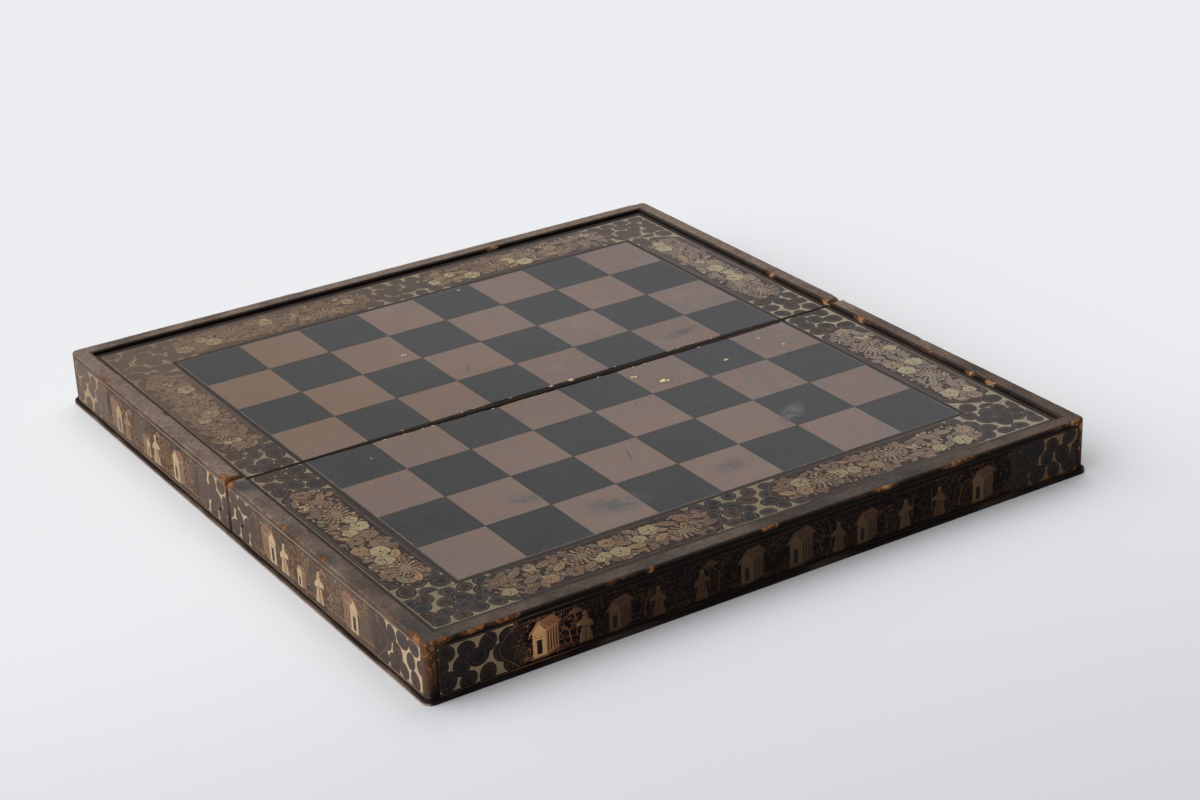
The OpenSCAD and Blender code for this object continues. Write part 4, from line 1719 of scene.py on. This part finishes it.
class BOARD_OT_stage(bpy.types.Operator):
    """Set the camera, the lights, the pale room and the two floors"""

    bl_idname = "board.stage"
    bl_label = "Stage"

    def execute(self, context):
        stage = context.scene.board_stage
        context.scene.view_settings.view_transform = "Standard"
        make_camera(stage)
        make_lights(stage)
        make_floors(stage)
        return {"FINISHED"}


class BOARD_OT_walls(bpy.types.Operator):
    """Build the six outside walls with worn edges, chips and rounded fold ends"""

    bl_idname = "board.walls"
    bl_label = "Walls"

    def execute(self, context):
        materials = [wall_lacquer("wall_lacquer")]
        for half in HALVES:
            for side, wall in wall_faces(half).items():
                node = f"{half}_{side}_wall"
                mesh = build_wall(node, *wall, context.scene.board_wear)
                piece = add_piece(half, side + "_wall_worn", mesh, materials, [node])
                piece.data.shade_smooth()
        return {"FINISHED"}


class BOARD_OT_carcass(bpy.types.Operator):
    """Finish the panels, hinge walls and beads in black lacquer"""

    bl_idname = "board.carcass"
    bl_label = "Panels, hinge walls and beads"

    def execute(self, context):
        panel = black_lacquer("panel_lacquer", 0.07, 0.07)
        bead = black_lacquer("bead_lacquer", 0.03, 0.5)
        for half in HALVES:
            dress(panel, f"{half}_panel", f"{half}_hinge_wall")
            dress(bead, *(f"{half}_{side}_bead" for side in ("outer", "left", "right")))
        return {"FINISHED"}


# Squares: settings of their lacquer, its streaks, smudges and the cool tone of its painted reflection,
# how dim its painted shade is and how warm it is
SQUARES = {
    "dark": ("slate", "#48494c", "#5a5b5d", "#3a383f", 0.36, 0.1),
    "light": ("taupe", "#857671", "#45464a", "#6e6668", 0.88, 0.8),
}


class BOARD_OT_squares(bpy.types.Operator):
    """Finish the squares in slate and taupe lacquer with their streaks, specks and smudges"""

    bl_idname = "board.squares"
    bl_label = "Squares"

    def execute(self, context):
        for shade, (lacquer, *codes, dim, warmth) in SQUARES.items():
            colour = getattr(context.scene.board_lacquers, lacquer)
            material = square_lacquer(lacquer + "_lacquer", colour, *map(linear, codes), dim, warmth)
            dress(material, *(f"{half}_{shade}_squares" for half in HALVES))
        return {"FINISHED"}


class BOARD_OT_border(bpy.types.Operator):
    """Lay the gilt work of the borders: lobes, reserves, flowers and leaves"""

    bl_idname = "board.border"
    bl_label = "Gilt border"

    def execute(self, context):
        ground = border_ground("border_ground")
        seed = context.scene.board_gilding.seed
        for half in HALVES:
            dress(ground, f"{half}_gilt_border")
            seed += 10
            for name, work in gild_border(half, seed):
                name = "border_gilding_" + name
                add_piece(half, name, work.finish(), gilding_materials())
        return {"FINISHED"}


class BOARD_OT_wall_gilding(bpy.types.Operator):
    """Lay the gilt work of the walls: lobes, pavilions, figures and trees"""

    bl_idname = "board.wall_gilding"
    bl_label = "Gilt walls"

    def execute(self, context):
        seed = context.scene.board_gilding.seed + 100
        for half in HALVES:
            for side, (face, reach, mitred) in wall_faces(half).items():
                seed += 1
                scenes = round((reach - BOTH_ENDS) / SCENE_W)
                work = gild_wall(face, reach, mitred, seed, scenes)
                name = side + "_wall_gilding"
                add_piece(half, name, work.finish(), gilding_materials())
        return {"FINISHED"}


class BOARD_OT_lining(bpy.types.Operator):
    """Draw the thin lines round the border and the squares, the painted shadow along the fold and the
    small losses
    """

    bl_idname = "board.lining"
    bl_label = "Lines and losses"

    def execute(self, context):
        for half, s in HALVES.items():
            work = Gilding(Face((0, 0, FIELD_Z), (s, 0, 0), (0, s, 0)), 3)
            for x, y, tone in (
                (BAND_X - 0.8, BAND_Y - 1.2, "straw"),
                (FIELD_X + 0.5, FIELD_Y + 0.5, "mist"),
            ):
                work.path(((-x, -BAND_FOLD), (-x, -y), (x, -y), (x, -BAND_FOLD)), 1.0, tone)
            fold_shadow_and_chips(work, {"near": 1.0, "far": 0.65}[half], s)
            for x, y, radius in LOSSES:
                if y * s < 0:
                    loss(work, x * s, y * s, radius)
            add_piece(half, "lining", work.finish(), gilding_materials())
        return {"FINISHED"}


class BOARD_OT_inside(bpy.types.Operator):
    """Finish the backgammon points and the brass of the hinges"""

    bl_idname = "board.inside"
    bl_label = "Points and hinges"

    def execute(self, context):
        gold = point_lacquer("gold_point_lacquer", context.scene.board_gilding.pale, 0.3)
        red = point_lacquer("red_point_lacquer", context.scene.board_lacquers.red, 0.0)
        leaf_brass = brass("hinge_brass", 0.8)
        pin_brass = brass("pin_brass", 0.55)
        dress(pin_brass, "left_hinge_pin", "right_hinge_pin")
        for half in HALVES:
            dress(gold, f"{half}_gold_points")
            dress(red, f"{half}_red_points")
            dress(pin_brass, f"{half}_hinge_screws")
            dress(leaf_brass, f"left_hinge_{half}_leaf", f"right_hinge_{half}_leaf")
        return {"FINISHED"}


OPERATORS = (
    BOARD_OT_stage,
    BOARD_OT_walls,
    BOARD_OT_carcass,
    BOARD_OT_squares,
    BOARD_OT_border,
    BOARD_OT_wall_gilding,
    BOARD_OT_lining,
    BOARD_OT_inside,
)


class BOARD_PT_board(bpy.types.Panel):
    """Lists the steps that dress the board"""

    bl_idname = "BOARD_PT_board"
    bl_label = "Games Board"
    bl_space_type = "VIEW_3D"
    bl_region_type = "UI"
    bl_category = "Games Board"

    def draw(self, context):
        for operator in OPERATORS:
            self.layout.operator(operator.bl_idname)
        for group in settings():
            box = self.layout.box()
            for name in group.bl_rna.properties.keys():
                if name not in ("name", "rna_type"):
                    box.prop(group, name)


GROUPS = {
    "board_lacquers": BoardLacquers,
    "board_gilding": BoardGilding,
    "board_wear": BoardWear,
    "board_stage": BoardStage,
}


def register():
    for cls in (*GROUPS.values(), *OPERATORS, BOARD_PT_board):
        bpy.utils.register_class(cls)
    for name, group in GROUPS.items():
        setattr(bpy.types.Scene, name, PointerProperty(type=group))


def unregister():
    for name in GROUPS:
        delattr(bpy.types.Scene, name)
    for cls in (BOARD_PT_board, *reversed(OPERATORS), *reversed(GROUPS.values())):
        bpy.utils.unregister_class(cls)


def main():
    """Dresses the board step by step."""
    register()
    bpy.ops.board.stage()
    bpy.ops.board.walls()
    bpy.ops.board.carcass()
    bpy.ops.board.squares()
    bpy.ops.board.border()
    bpy.ops.board.wall_gilding()
    bpy.ops.board.lining()
    bpy.ops.board.inside()
    boxes = {"cad": CAD_BOX, "visual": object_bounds()}
    {name: [list(end) for end in box] for name, box in boxes.items()}


if __name__ == "__main__":
    main()
